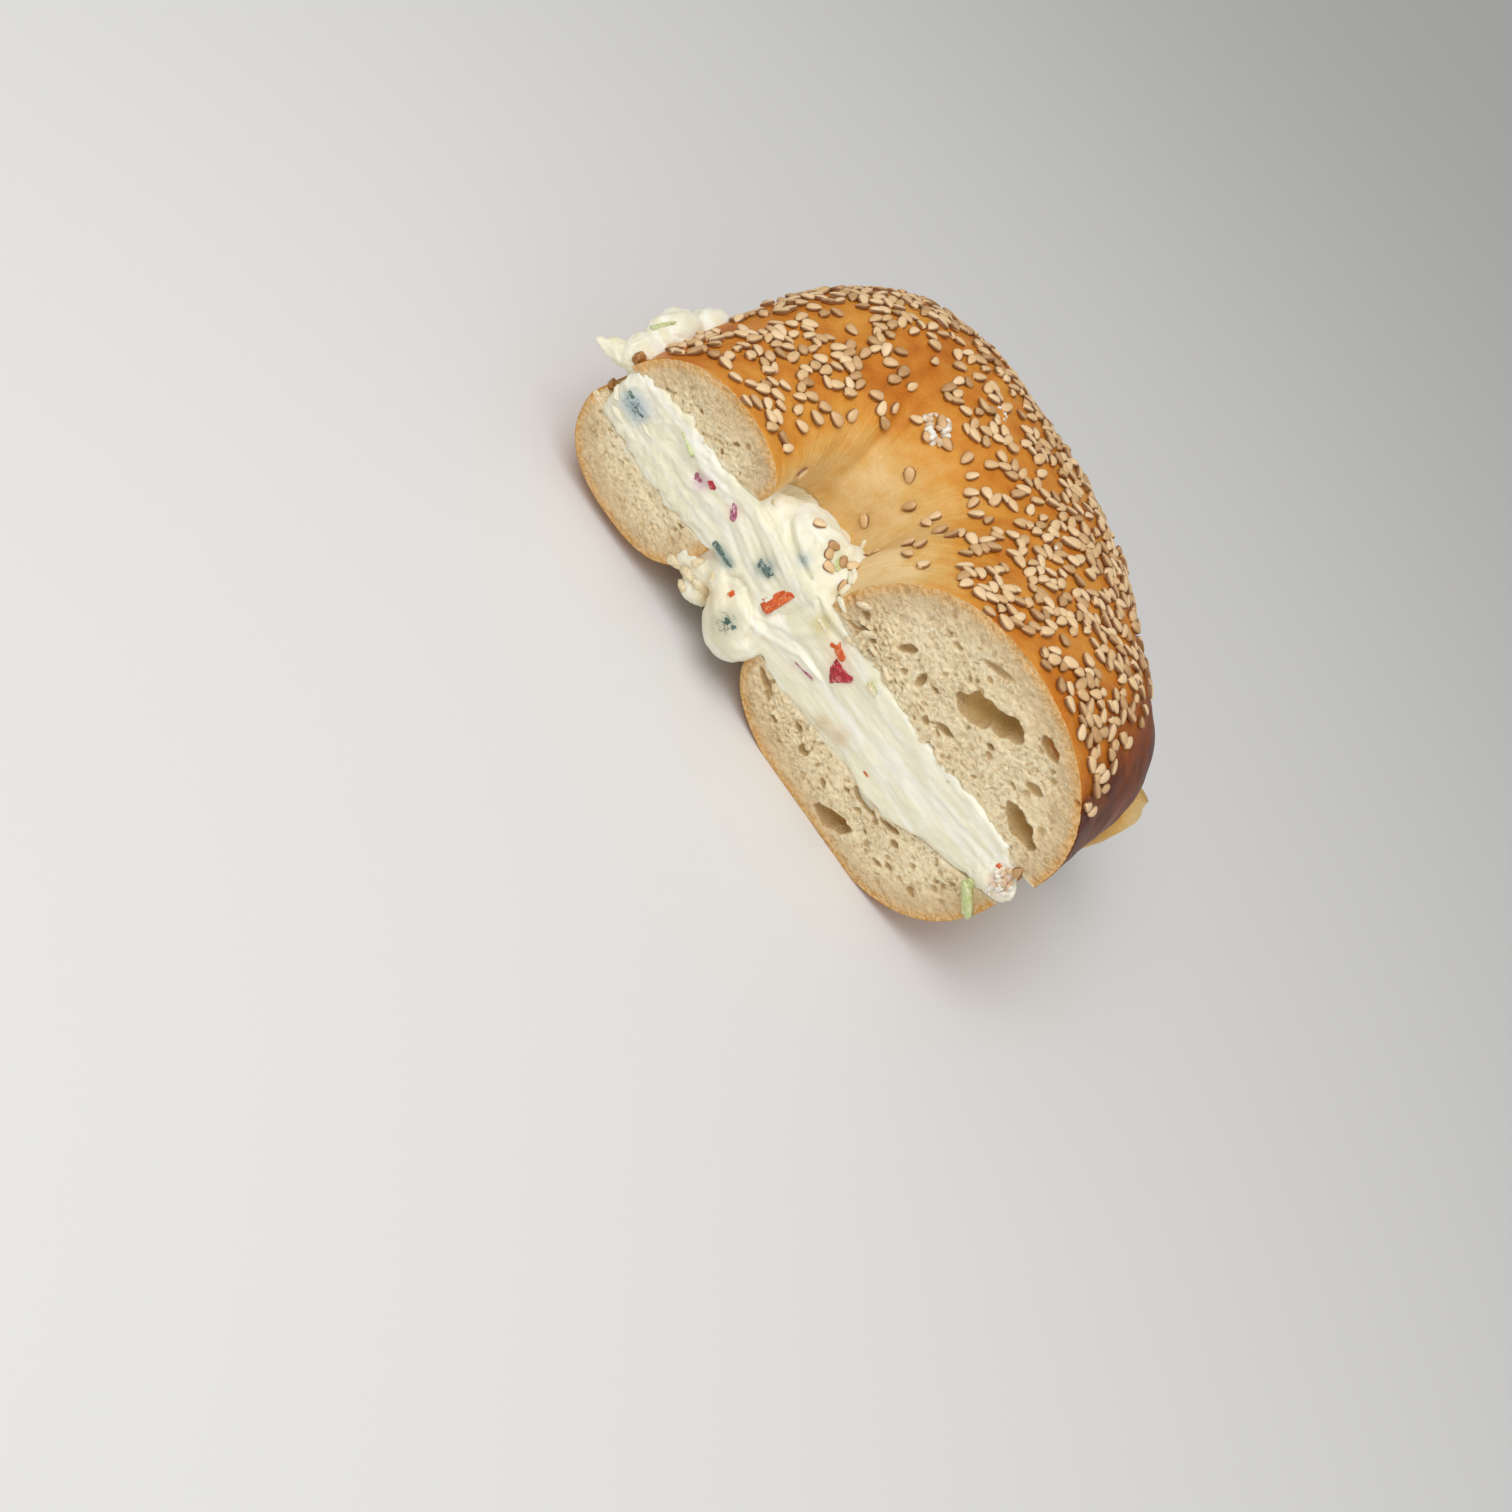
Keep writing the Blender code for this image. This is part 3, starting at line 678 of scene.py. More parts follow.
def seed_shape():
    """A teardrop along X; its side attribute runs from -1 to 1 across it, for the painted shade at its rim.
    """
    mesh = bmesh.new()
    side_layer = mesh.verts.layers.float.new("side")
    rows = []
    for ring in range(1, SEED_RINGS):
        lie = math.cos(math.pi * ring / SEED_RINGS)
        girth = math.sin(math.pi * ring / SEED_RINGS) ** 0.82 * (1 - 0.28 * lie)
        row = []
        for index in range(SEED_SIDES):
            angle = 2 * math.pi * index / SEED_SIDES
            side = math.cos(angle)
            thick = signed_power(math.sin(angle), 0.8)
            across, above = girth * side * SEED_WIDTH / 2, girth ** 0.7 * thick * SEED_THICKNESS / 2
            vert = mesh.verts.new((lie / 2, across, above))
            vert[side_layer] = side
            row.append(vert)
        rows.append(row)
    tips = [mesh.verts.new((0.5, 0, 0)), mesh.verts.new((-0.5, 0, 0))]
    for first, second in zip(rows, rows[1:]):
        for index in range(SEED_SIDES):
            after = (index + 1) % SEED_SIDES
            mesh.faces.new((first[index], first[after], second[after], second[index]))
    for index in range(SEED_SIDES):
        after = (index + 1) % SEED_SIDES
        mesh.faces.new((tips[0], rows[0][after], rows[0][index]))
        mesh.faces.new((tips[1], rows[-1][index], rows[-1][after]))
    for tip in tips:
        tip[side_layer] = SEED_TIP_SIDE
    bmesh.ops.recalc_face_normals(mesh, faces=mesh.faces)
    bmesh.ops.scale(mesh, vec=(SEED_LENGTH * MILLIMETRE,) * 3, verts=mesh.verts)
    data = bpy.data.meshes.new("seed shape")
    mesh.to_mesh(data)
    mesh.free()
    data.shade_smooth()
    return bpy.data.objects.new("seed shape", data)


def scatter_tree(seed_object, material):
    """Geometry nodes that press a shape into a crust wherever its seeding attribute allows."""
    tree = bpy.data.node_groups.new("press seeds in", "GeometryNodeTree")
    plug = tree.interface
    plug.new_socket("Geometry", in_out="INPUT", socket_type="NodeSocketGeometry")
    inputs = {}
    for name, value in (("Spacing", SEED_SPACING * MILLIMETRE), ("Most", SEED_MOST / MILLIMETRE ** 2),
                        ("Tilt", SEED_TILT), ("Smallest", SEED_SCALES[0]), ("Largest", SEED_SCALES[1]),
                        ("Rise", SEED_RISE * SEED_LENGTH * MILLIMETRE)):
        socket = plug.new_socket(name, in_out="INPUT", socket_type="NodeSocketFloat")
        inputs[name] = (socket.identifier, value)
    plug.new_socket("Geometry", in_out="OUTPUT", socket_type="NodeSocketGeometry")
    start = wire(tree, "NodeGroupInput", {}).outputs
    cover = wire(tree, "GeometryNodeInputNamedAttribute", {"Name": "seeding"}, data_type="FLOAT")
    points = wire(tree, "GeometryNodeDistributePointsOnFaces", {
        "Mesh": start["Geometry"], "Distance Min": start["Spacing"], "Density Max": start["Most"],
        "Density Factor": cover.outputs["Attribute"], "Seed": PLACE_DRAW}, distribute_method="POISSON")
    back = product(tree, start["Tilt"], -1.0)
    low = wire(tree, "ShaderNodeCombineXYZ", {0: back, 1: back, 2: 0.0})
    high = wire(tree, "ShaderNodeCombineXYZ", {0: start["Tilt"], 1: start["Tilt"], 2: 2 * math.pi})
    spin = wire(tree, "FunctionNodeRandomValue", {
        "Min": low.outputs[0], "Max": high.outputs[0], "Seed": TURN_DRAW}, data_type="FLOAT_VECTOR")
    turned = wire(tree, "FunctionNodeRotateRotation", {
        "Rotation": points.outputs["Rotation"],
        "Rotate By": wire(tree, "FunctionNodeEulerToRotation", {0: spin.outputs[0]}).outputs[0]},
        rotation_space="LOCAL")
    scale = wire(tree, "FunctionNodeRandomValue", {
        2: start["Smallest"], 3: start["Largest"], "Seed": SIZE_DRAW}, data_type="FLOAT")
    shape = wire(tree, "GeometryNodeObjectInfo", {"Object": seed_object})
    placed = wire(tree, "GeometryNodeInstanceOnPoints", {
        "Points": points.outputs["Points"], "Instance": shape.outputs["Geometry"],
        "Rotation": turned.outputs[0], "Scale": scale.outputs[1]})
    rise = wire(tree, "ShaderNodeCombineXYZ", {2: start["Rise"]})
    raised = wire(tree, "GeometryNodeTranslateInstances", {
        "Instances": placed.outputs[0], "Translation": rise.outputs[0], "Local Space": True})
    luck = wire(tree, "FunctionNodeRandomValue", {2: 0.0, 3: 1.0, "Seed": TINT_DRAW}, data_type="FLOAT")
    tinted = wire(tree, "GeometryNodeStoreNamedAttribute", {
        "Geometry": raised.outputs[0], "Name": "tint", "Value": luck.outputs[1]},
        data_type="FLOAT", domain="INSTANCE")
    real = wire(tree, "GeometryNodeRealizeInstances", {"Geometry": tinted.outputs[0]})
    coloured = wire(tree, "GeometryNodeSetMaterial", {"Geometry": real.outputs[0], "Material": material})
    wire(tree, "NodeGroupOutput", {0: coloured.outputs[0]})
    return tree, inputs


def magnitude(tree, value):
    return wire(tree, "ShaderNodeMath", {0: value}, operation="ABSOLUTE").outputs[0]


def seed_material():
    material, tree, shader = new_material("sesame")
    tint = sum_of(tree, (attribute(tree, "tint"), 0.85), (grain(tree, 900, 3), 0.3))
    body = colour_steps(tree, tint, SEED_TINTS)
    # Painted shade along the seed's rim and tips
    edge = spread(tree, magnitude(tree, attribute(tree, "side")), 0.66, 0.97, 0.0, 0.9)
    tree.links.new(mix_colours(tree, edge, body, SEED_RIM_SHADE), shader.inputs["Base Color"])
    shader.inputs["Roughness"].default_value = SEED_ROUGHNESS
    soften(shader, 0.06, (1.0, 0.7, 0.4), 0.0008)
    roughen(tree, shader, grain(tree, 3000, 3), 0.25, 0.0002)
    return material


def plain_mesh(item):
    """An object's mesh with its modifiers applied."""
    return bpy.data.meshes.new_from_object(item.evaluated_get(bpy.context.evaluated_depsgraph_get()))


def grow_seeds(host):
    seed_object = seed_shape()
    tree, inputs = scatter_tree(seed_object, seed_look)
    carrier = bpy.data.objects.new("seed carrier", host.data)
    bpy.context.scene.collection.objects.link(carrier)
    modifier = carrier.modifiers.new("seeds", "NODES")
    modifier.node_group = tree
    for identifier, value in inputs.values():
        modifier[identifier] = value
    data = plain_mesh(carrier)
    bpy.data.objects.remove(carrier, do_unlink=True)
    bpy.data.objects.remove(seed_object, do_unlink=True)
    item = bpy.data.objects.new("sesame_seeds", data)
    bpy.context.scene.collection.objects.link(item)
    data.shade_smooth()
    return item


seed_look = seed_material()
seeds = grow_seeds(crown)
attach(seeds, "root")

# Heel
# The lower half of the same ring: flat underneath where it lay in the oven, a low crust wall with a
# torn lip outside, and the same crumb. It is cut and split like the crown.
HEEL_WIDER = (1.4, 0.6, 1.0)
HEEL_SHIFT = (-2.4, 1.0, 1.4)
HEEL_SINK, HEEL_LIFT = 1.2, 4.2
HEEL_POWER = 2.4
LIP_REACH, LIP_RISE = 10.0, 7.0
LIP_STATION, LIP_SPREAD, LIP_SHARPNESS = 0.14, 0.052, 4
LIP_PALE_SPREAD = 0.07                       # how far round the torn wall is pale
LIP_TEAR, LIP_TEAR_PACE = 1.6, 90            # unevenness of its torn edge, and how quickly it changes
LOWER_SEAM = ((13.8, 14.0, 18.6), (16.2, 17.0, 16.6), (25.2, 23.0, 18.2))
HEEL_STATIONS = 220
HEEL_STEPS = 80
HEEL_CAVITIES = (
    ((31.2, 4.6), (4.6, 2.4), -24, 4.5),
    ((31.9, 13.8), (3.8, 1.3), 5, 2.8),
    ((38.4, 15.4), (2.6, 0.9), -20, 1.8),
    ((24.5, 8.3), (1.2, 0.9), 20, 1.1),
    ((41.6, 13.7), (1.2, 1.0), 0, 1.2),
    ((44.6, 9.2), (1.1, 0.8), 10, 1.0),
    ((42.8, 7.5), (1.4, 0.8), -10, 0.9),
    ((2.6, 11.3), (3.6, 1.0), 21, 1.6),
    ((13.3, 11.5), (1.6, 0.9), 30, 1.1),
)


def lip(station, across):
    """Share of the torn lip at a point of the heel's top."""
    return bump(station, LIP_STATION, LIP_SPREAD) * max(across, 0.0) ** LIP_SHARPNESS


def lower_seam(station, across):
    return seam(station, across, LOWER_SEAM) + LIP_RISE * lip(station, across)


def heel_section(station):
    """Reach, height and turn round the heel: turn runs under it from inside to outside."""
    half = ring_at(station)[2] + along_ring(station, HEEL_WIDER)
    shift = along_ring(station, HEEL_SHIFT)
    bottom = HEEL_LIFT * max(2 * station - 1, 0.0) ** 2 - HEEL_SINK

    def reach_at(across):
        tear = 1 + LIP_TEAR / LIP_REACH * noise.noise(Vector((station * LIP_TEAR_PACE, 2.0, 0.0)))
        return shift + half * across + LIP_REACH * tear * lip(station, across) + shoulder(station, across)

    points = []
    for step in range(HEEL_STEPS + 1):
        angle = math.pi * step / HEEL_STEPS
        across = -signed_power(math.cos(angle), 2 / HEEL_POWER)
        drop = max(math.sin(angle), 0.0) ** (2 / HEEL_POWER)
        top = lower_seam(station, across)
        points.append((reach_at(across), max(top - (top - bottom) * drop, 0.0), step / HEEL_STEPS))
    for step in range(1, SEAM_STEPS):
        across = 1 - 2 * step / SEAM_STEPS
        points.append((reach_at(across), lower_seam(station, across), -1.0))
    return points


def paint_heel(mesh):
    """Browning of the heel: its underside golden, its outer wall pale where the lip tore."""
    layers = mesh.verts.layers.float
    layers.new("toast")
    names = ("station", "turn", "toast", "rim")
    station_layer, turn_layer, toast_layer, rim_layer = (layers[name] for name in names)
    for vert in mesh.verts:
        station, turn = vert[station_layer], vert[turn_layer]
        if turn < 0:
            vert[toast_layer] = CUT_TOAST
            if vert.co.y > 1:
                above = vert.co.z - seam(station, 0.8, LOWER_SEAM)
                vert[rim_layer] = 0.5 + 8 * (1 - ease(above, 0, 3))
            continue
        patchy = 0.12 * noise.noise(vert.co / 9) + 0.06 * noise.noise(vert.co / 3)
        torn = bump(station, LIP_STATION, LIP_PALE_SPREAD) * ease(turn, 0.6, 0.8)
        vert[toast_layer] = 0.40 + 0.12 * ease(turn, 0.7, 0.9) - 0.55 * torn + patchy
        if vert.co.y > 0.01 and vert.co.z > 0.6:
            vert.co += vert.normal * crust_relief(vert.co, station, 0.2) * ease(vert.co.y, 0, 1.5)


heel_mesh = loft_bread(heel_section, even_stations(HEEL_STATIONS), ((HEEL_CAVITIES, 0.9), ((), 0.6)))
paint_heel(heel_mesh)
heel = finished_object("heel", heel_mesh, bread_look)
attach(heel, "root")
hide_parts("bottom_bread")

# Cream cheese
# A thick layer of soft white cheese between the breads, drawn out by the knife into fine streaks. It
# fills the hole in a swirled heap and hangs out in front and at the thin arm's outer end.
CHEESE_RECESS = (2.5, 2.0, 0.8)              # of its outer edge behind the crust
CHEESE_OVERLAP = 0.25                        # into each bread
CHEESE_PROUD = 0.55                          # of the cut
CHEESE_VOXEL = 0.38
CHEESE_KEPT = 0.46                           # share of the voxels' faces that the thinning keeps
CHEESE_STATIONS = 90
CHEESE_STEPS = 24
CHEESE_SMOOTHINGS = 4
SLAB_STEP, SLAB_ROWS = 0.4, 70               # spacing of the smeared front's points, and how many up it
SLAB_REACH = (-0.35, 1.35)                   # its lowest and highest row, as shares of the layer
SLAB_BACK, SLAB_SUNK = 3.0, 1.4              # how deep its back lies, and its front beyond the smear
SLAB_NARROWING = 0.43                        # how much lower it is across the hole
PHOTO_MIDDLE, PHOTO_FOCUS = 756.0, 1700.0    # the photograph's middle and the lens, in pixels
# Heaps that the voxels join to the layer: centre and radii
CHEESE_LUMPS = (
    ((-12.0, 12.0, 19.5), (16.0, 14.0, 13.5)),
    ((-11.0, 5.0, 21.0), (15.0, 6.5, 14.0)),
    ((-11.5, 7.0, 30.0), (13.0, 8.5, 9.0)),
    ((-4.5, 9.0, 34.0), (6.0, 6.0, 5.0)),
    ((-23.5, 3.0, 12.4), (5.4, 4.0, 3.4)),
    ((-20.0, 2.4, 8.8), (3.6, 3.4, 2.8)),
    ((-9.5, 0.0, 13.5), (7.0, 5.0, 8.0)),
    ((-13.0, 20.0, 20.0), (12.0, 12.0, 10.0)),
    ((57.0, 0.6, 28.0), (5.0, 2.4, 3.4)),
    ((-60.0, 8.0, 27.0), (5.0, 5.6, 4.2)),
    ((-61.5, 16.0, 29.0), (5.2, 7.0, 5.6)),
    ((-60.0, 25.0, 30.0), (5.0, 7.0, 5.0)),
    ((-63.6, 4.6, 25.0), (3.6, 2.4, 2.0)),
    ((-66.2, 3.4, 24.2), (3.0, 1.3, 1.1)),
)
# How far the knife dragged the layer over the crumb, by the place along the cut: up, and down
DRAG_UP = ((-57, 2.0), (-48, 2.3), (-38, 2.3), (-32, 0.1), (-24, -1.0), (8, -0.2), (13, 2.4),
           (16, 1.3), (24, 2.1), (29, 1.6), (37, 2.9), (47, 3.0), (52, 2.4), (57, 0.3))
DRAG_DOWN = ((-57, -1.4), (-53, -1.4), (-47, -0.3), (-35, -0.3), (-28, -1.4), (6, 0.9), (12, -1.2),
             (17, -1.6), (22, -1.6), (28, 1.0), (32, 1.4), (36, 1.7), (41, 0.1), (47, -1.4), (55, -1.6))
STROKE_SHARE = 0.62                          # of the height below, for all folds and creases
# Folds and creases of the cheese as they lie on the photograph: line, width in pixels, height
CHEESE_STROKES = (
    (((789, 524), (791, 537), (796, 552), (803, 564), (810, 578)), 2.2, -1.3),
    (((797, 521), (799, 536), (804, 551), (812, 567)), 5.5, 1.2),
    (((803, 540), (806, 533), (813, 531), (818, 537), (817, 546)), 1.8, -0.5),
    (((812, 520), (828, 528), (842, 540), (850, 552)), 4.0, 0.9),
    (((728, 525), (740, 560), (760, 592)), 2.2, -0.6),
    (((738, 520), (752, 556), (767, 589)), 2.4, 0.6),
    (((748, 517), (764, 556), (778, 588)), 2.0, -0.5),
    (((757, 515), (775, 552), (790, 586)), 2.4, 0.5),
    (((768, 515), (785, 552), (800, 586)), 2.0, -0.4),
    (((727, 576), (737, 578), (747, 590), (752, 606), (753, 622), (748, 640)), 3.0, -1.6),
    (((718, 590), (716, 612), (722, 640), (735, 655)), 10.0, 0.9),
    (((752, 626), (775, 640), (800, 655), (822, 680)), 2.4, 0.8),
    (((757, 620), (784, 632), (806, 650), (830, 690)), 2.4, -0.8),
    (((760, 612), (785, 616), (808, 606)), 4.0, -1.2),
    (((770, 624), (790, 634), (812, 632)), 5.0, 0.8),
    (((818, 600), (821, 615), (831, 629), (841, 641)), 3.2, -1.6),
    (((790, 668), (818, 684), (850, 716), (880, 752)), 5.0, -0.35),
    (((806, 664), (836, 690), (870, 730), (905, 775)), 5.0, 0.3),
    (((850, 680), (882, 722), (925, 775), (965, 820)), 4.0, -0.35),
    (((870, 760), (900, 795), (940, 835)), 9.0, 0.5),
    (((862, 790), (884, 812), (915, 832)), 8.0, 0.5),
    (((936, 800), (960, 828), (990, 858)), 2.6, -0.6),
    (((625, 420), (660, 455), (700, 505)), 3.0, -0.3),
    (((640, 440), (672, 478), (712, 530)), 3.0, 0.3),
    (((668, 430), (700, 462), (740, 498)), 2.6, -0.3),
)
# Where vegetable juice tints the cheese on the photograph, and a few places of painted shade: place, radius
# in pixels, colour, strength
CHEESE_STAINS_AND_SHADE = (
    ((629, 398), 14, linear(182, 198, 202), 0.66),
    ((640, 414), 17, linear(176, 192, 200), 0.72),
    ((702, 482), 14, linear(206, 156, 178), 0.62),
    ((734, 511), 11, linear(228, 152, 152), 0.55),
    ((720, 552), 10, linear(112, 146, 156), 0.62),
    ((729, 563), 8, linear(104, 140, 140), 0.62),
    ((764, 568), 13, linear(132, 152, 150), 0.68),
    ((727, 623), 14, linear(140, 164, 158), 0.52),
    ((1000, 880), 13, linear(226, 198, 170), 0.60),
    ((686, 568), 15, linear(226, 206, 160), 0.55),
    # Painted shade: dims the lobe
    ((716, 610), 30, linear(230, 216, 178), 0.50),
    ((792, 552), 34, linear(226, 224, 204), 0.40),
    ((735, 640), 22, linear(232, 218, 180), 0.35),
    ((704, 592), 13, linear(226, 206, 160), 0.50),
    ((648, 345), 12, linear(230, 208, 160), 0.40),
    ((612, 372), 10, linear(226, 200, 150), 0.45),
    ((822, 722), 13, linear(226, 204, 164), 0.75),
    ((840, 738), 13, linear(226, 204, 164), 0.75),
    # Painted shade: a blue-grey streak on the plug
    ((804, 560), 9, linear(160, 178, 190), 0.50),
    ((782, 600), 12, linear(244, 196, 150), 0.35),
    ((838, 655), 18, linear(244, 186, 150), 0.40),
    ((841, 676), 16, linear(232, 150, 156), 0.40),
    ((822, 624), 15, linear(212, 196, 118), 0.70),
    ((845, 560), 15, linear(226, 214, 148), 0.50),
    ((872, 683), 9, linear(216, 208, 136), 0.55),
    ((612, 335), 13, linear(226, 214, 140), 0.50),
    ((790, 667), 11, linear(238, 190, 182), 0.35),
    ((918, 812), 20, linear(222, 230, 204), 0.40),
    ((1000, 885), 14, linear(224, 184, 166), 0.50),
)
CHEESE_DULL, CHEESE_BRIGHT = linear(240, 234, 206), linear(253, 250, 236)
CHEESE_CREAMY = linear(244, 236, 198)
CHEESE_ROUGHNESS = 0.48


def cheese_section(station):
    """Reach and height round the layer, a little into both breads."""
    inner = -ring_at(station)[2]
    outer = -inner - along_ring(station, CHEESE_RECESS)
    shares = [step / CHEESE_STEPS for step in range(CHEESE_STEPS + 1)]
    points = []
    for share in shares:
        height = seam(station, 1 - 2 * share, UPPER_SEAM) + CHEESE_OVERLAP
        points.append((outer + (inner - outer) * share, height))
    for share in shares:
        height = lower_seam(station, 2 * share - 1) - CHEESE_OVERLAP
        points.append((inner + (outer - inner) * share, height))
    return points


def layer_edges(x):
    """Heights of the layer's lower and upper edge on the cut, straight across the hole."""
    edges = []
    right_inner, left_inner = HOLE[0] + HOLE[1], HOLE[0] - HOLE[1]
    right_outer, left_outer = OUTLINE[0] + OUTLINE[1], OUTLINE[0] - OUTLINE[1]
    for sizes in (LOWER_SEAM, UPPER_SEAM):
        if x > right_inner:
            edges.append(seam(0, min((x - right_inner) / (right_outer - right_inner) * 2 - 1, 1), sizes))
        elif x < left_inner:
            edges.append(seam(1, min((left_inner - x) / (left_inner - left_outer) * 2 - 1, 1), sizes))
        else:
            share = (x - left_inner) / (right_inner - left_inner)
            edges.append(sizes[0][2] * (1 - share) + sizes[0][0] * share)
    return edges


def dragged(x, side):
    """How far the knife has dragged the layer over the crumb of a cut, in millimetres."""
    places, drags = zip(*(DRAG_UP if side > 0 else DRAG_DOWN))
    uneven = 0.9 * noise.noise(Vector((x / 3.2, side * 5.0, 0.0)))
    uneven += 0.5 * noise.noise(Vector((x / 1.5, side * 9.0, 2.0)))
    return float(np.interp(x, places, drags)) + uneven * (1 + 1.5 * ease(-x, 26, 36))


def smear_column(x):
    """The slab's front at one place along the cut, from below to above."""
    low, high = layer_edges(x)
    under, over = dragged(x, -1), dragged(x, 1)
    left, right = HOLE[0] - HOLE[1], HOLE[0] + HOLE[1]
    open_hole = ease(x, left - 2, left + 1) * (1 - ease(x, right - 1, right + 2))
    column = []
    for share in np.linspace(*SLAB_REACH, SLAB_ROWS):
        z = low + (high - low) * (0.5 + (share - 0.5) * (1 - SLAB_NARROWING * open_hole))
        on = ease(z, low - under - 0.4, low - under + 0.5)
        on *= 1 - ease(z, high + over - 0.5, high + over + 0.4)
        uneven = 0.40 * noise.noise(Vector((x / 9, 0.0, z / 3.5)))
        column.append((x, -(CHEESE_PROUD + uneven) * on + SLAB_SUNK * (1 - on), z))
    return column


def smear_front(mesh):
    """The knife's face of the layer: a slab whose front stands proud and dips into the crumb beyond."""
    places = np.arange(OUTLINE[0] - OUTLINE[1] + 1.6, OUTLINE[0] + OUTLINE[1] - 3.0, SLAB_STEP)
    columns = [smear_column(x) for x in places]
    fronts = [[mesh.verts.new(point) for point in column] for column in columns]
    backs = [[mesh.verts.new((x, SLAB_BACK, z)) for x, _, z in column] for column in columns]
    for sheet in (fronts, backs):
        for first, second in zip(sheet, sheet[1:]):
            for index in range(SLAB_ROWS - 1):
                mesh.faces.new((first[index], first[index + 1], second[index + 1], second[index]))
    for front, back in ((fronts[0], backs[0]), (fronts[-1], backs[-1])):
        for index in range(SLAB_ROWS - 1):
            mesh.faces.new((front[index], front[index + 1], back[index + 1], back[index]))
    for index in (0, -1):
        for front, after, back, behind in zip(fronts, fronts[1:], backs, backs[1:]):
            mesh.faces.new((front[index], after[index], behind[index], back[index]))


def cheese_blank():
    """The layer, its smeared front and the heaps, as closed shells that the voxels then join."""
    mesh = bmesh.new()
    loops = []
    for station in even_stations(CHEESE_STATIONS):
        centre, out, _ = ring_at(station)
        loops.append([mesh.verts.new(centre + out * reach + Vector((0.0, 0.0, height)))
                      for reach, height in cheese_section(station)])
    count = len(loops[0])
    for first, second in zip(loops, loops[1:]):
        for index in range(count):
            after = (index + 1) % count
            mesh.faces.new((first[index], first[after], second[after], second[index]))
    mesh.faces.new(reversed(loops[0]))
    mesh.faces.new(loops[-1])
    smear_front(mesh)
    bmesh.ops.recalc_face_normals(mesh, faces=mesh.faces)
    for centre, radii in CHEESE_LUMPS:
        matrix = Matrix.Translation(centre) @ Matrix.Diagonal((*radii, 1.0))
        lump = bmesh.ops.create_icosphere(mesh, subdivisions=5, radius=1.0, matrix=matrix)["verts"]
        for vert in lump:
            swell = 1 + 0.10 * noise.noise(vert.co / 6) + 0.04 * noise.noise(vert.co / 2)
            vert.co = Vector(centre) + (vert.co - Vector(centre)) * swell
    return mesh


def knife_marks(point):
    """Streaks that the knife left in the cheese, along the cut and down over the lobe."""
    slope = 0.42 * (1 - ease(point.z, 14, 24)) * bump(point.x, -10, 14) + 0.30 * bump(point.x, -18, 9)
    lie = point.z + slope * (point.x + 12) + 1.6 * noise.noise(point / 9)
    streak = noise.noise(Vector((point.x / 11, point.y / 5, lie / 0.75)))
    broad = noise.noise(Vector((point.x / 16, point.y / 7, lie / 2.6)))
    loose = ease(-point.x, 50, 58) + 1.2 * bump(point.x, -22, 4.5) * bump(point.z, 10, 5)
    loose += ease(point.x, 50, 55)
    loose += 0.85 * ease(-point.x, 20, 34) * (1 - ease(-point.x, 50, 58)) * (1 - ease(point.y, 4, 9))
    wild = loose * (0.7 * noise.noise(point / 3.4) + 0.55 * (0.3 - abs(noise.noise(point / 1.4))))
    calm = 1 - 0.70 * ease(point.x, 2, 14) - 0.35 * ease(-point.x, 22, 32)
    return calm * (0.20 * (0.35 - abs(streak)) + 0.30 * broad) + 0.14 * noise.noise(point / 1.3) + wild


def photo_pixels(points):
    """Where points of the bagel, in its millimetres, fall on the photograph, and how far off they are."""
    right, up, back = (np.array(axis) for axis in photo_axes())
    away = (points - np.array(PLAN_CENTRE)) * MILLIMETRE - np.array(CAMERA_PLACE)
    depth = -away @ back
    pixels = np.column_stack([PHOTO_MIDDLE + PHOTO_FOCUS * (away @ right) / depth,
                              PHOTO_MIDDLE - PHOTO_FOCUS * (away @ up) / depth])
    return pixels, away / np.linalg.norm(away, axis=1)[:, None]


def path_distance(pixels, path):
    """Distance of pixels from a broken line, in pixels."""
    nearest = np.full(len(pixels), 1e9)
    for start, end in zip(np.array(path, float), np.array(path[1:], float)):
        run = end - start
        share = np.clip((pixels - start) @ run / (run @ run), 0, 1)
        nearest = np.minimum(nearest, np.linalg.norm(pixels - start - share[:, None] * run, axis=1))
    return nearest


def draw_strokes(mesh, strokes):
    """Raise folds and press creases along lines seen on the photograph, where the cheese faces it."""
    mesh.normal_update()
    places = np.array([vert.co for vert in mesh.verts])
    normals = np.array([vert.normal for vert in mesh.verts])
    pixels, sight = photo_pixels(places)
    facing = np.clip(-(normals * sight).sum(1) * 2, 0, 1) * (places[:, 1] < 22)
    push = np.zeros(len(places))
    for path, width, height in strokes:
        push += STROKE_SHARE * height * np.exp(-(path_distance(pixels, path) / width) ** 2)
    for vert, normal, amount in zip(mesh.verts, normals, push * facing):
        vert.co += Vector(normal * amount)


def covered(point, normal):
    """How far a point of the layer lies flat against a bread, away from the hole and the cut: 0 to 1."""
    from_hole = ((point.x - HOLE[0]) / 15) ** 2 + (point.y / 28) ** 2
    return ease(from_hole, 1.0, 1.3) * ease(abs(normal.z), 0.6, 0.9) * ease(point.y, 5, 9)


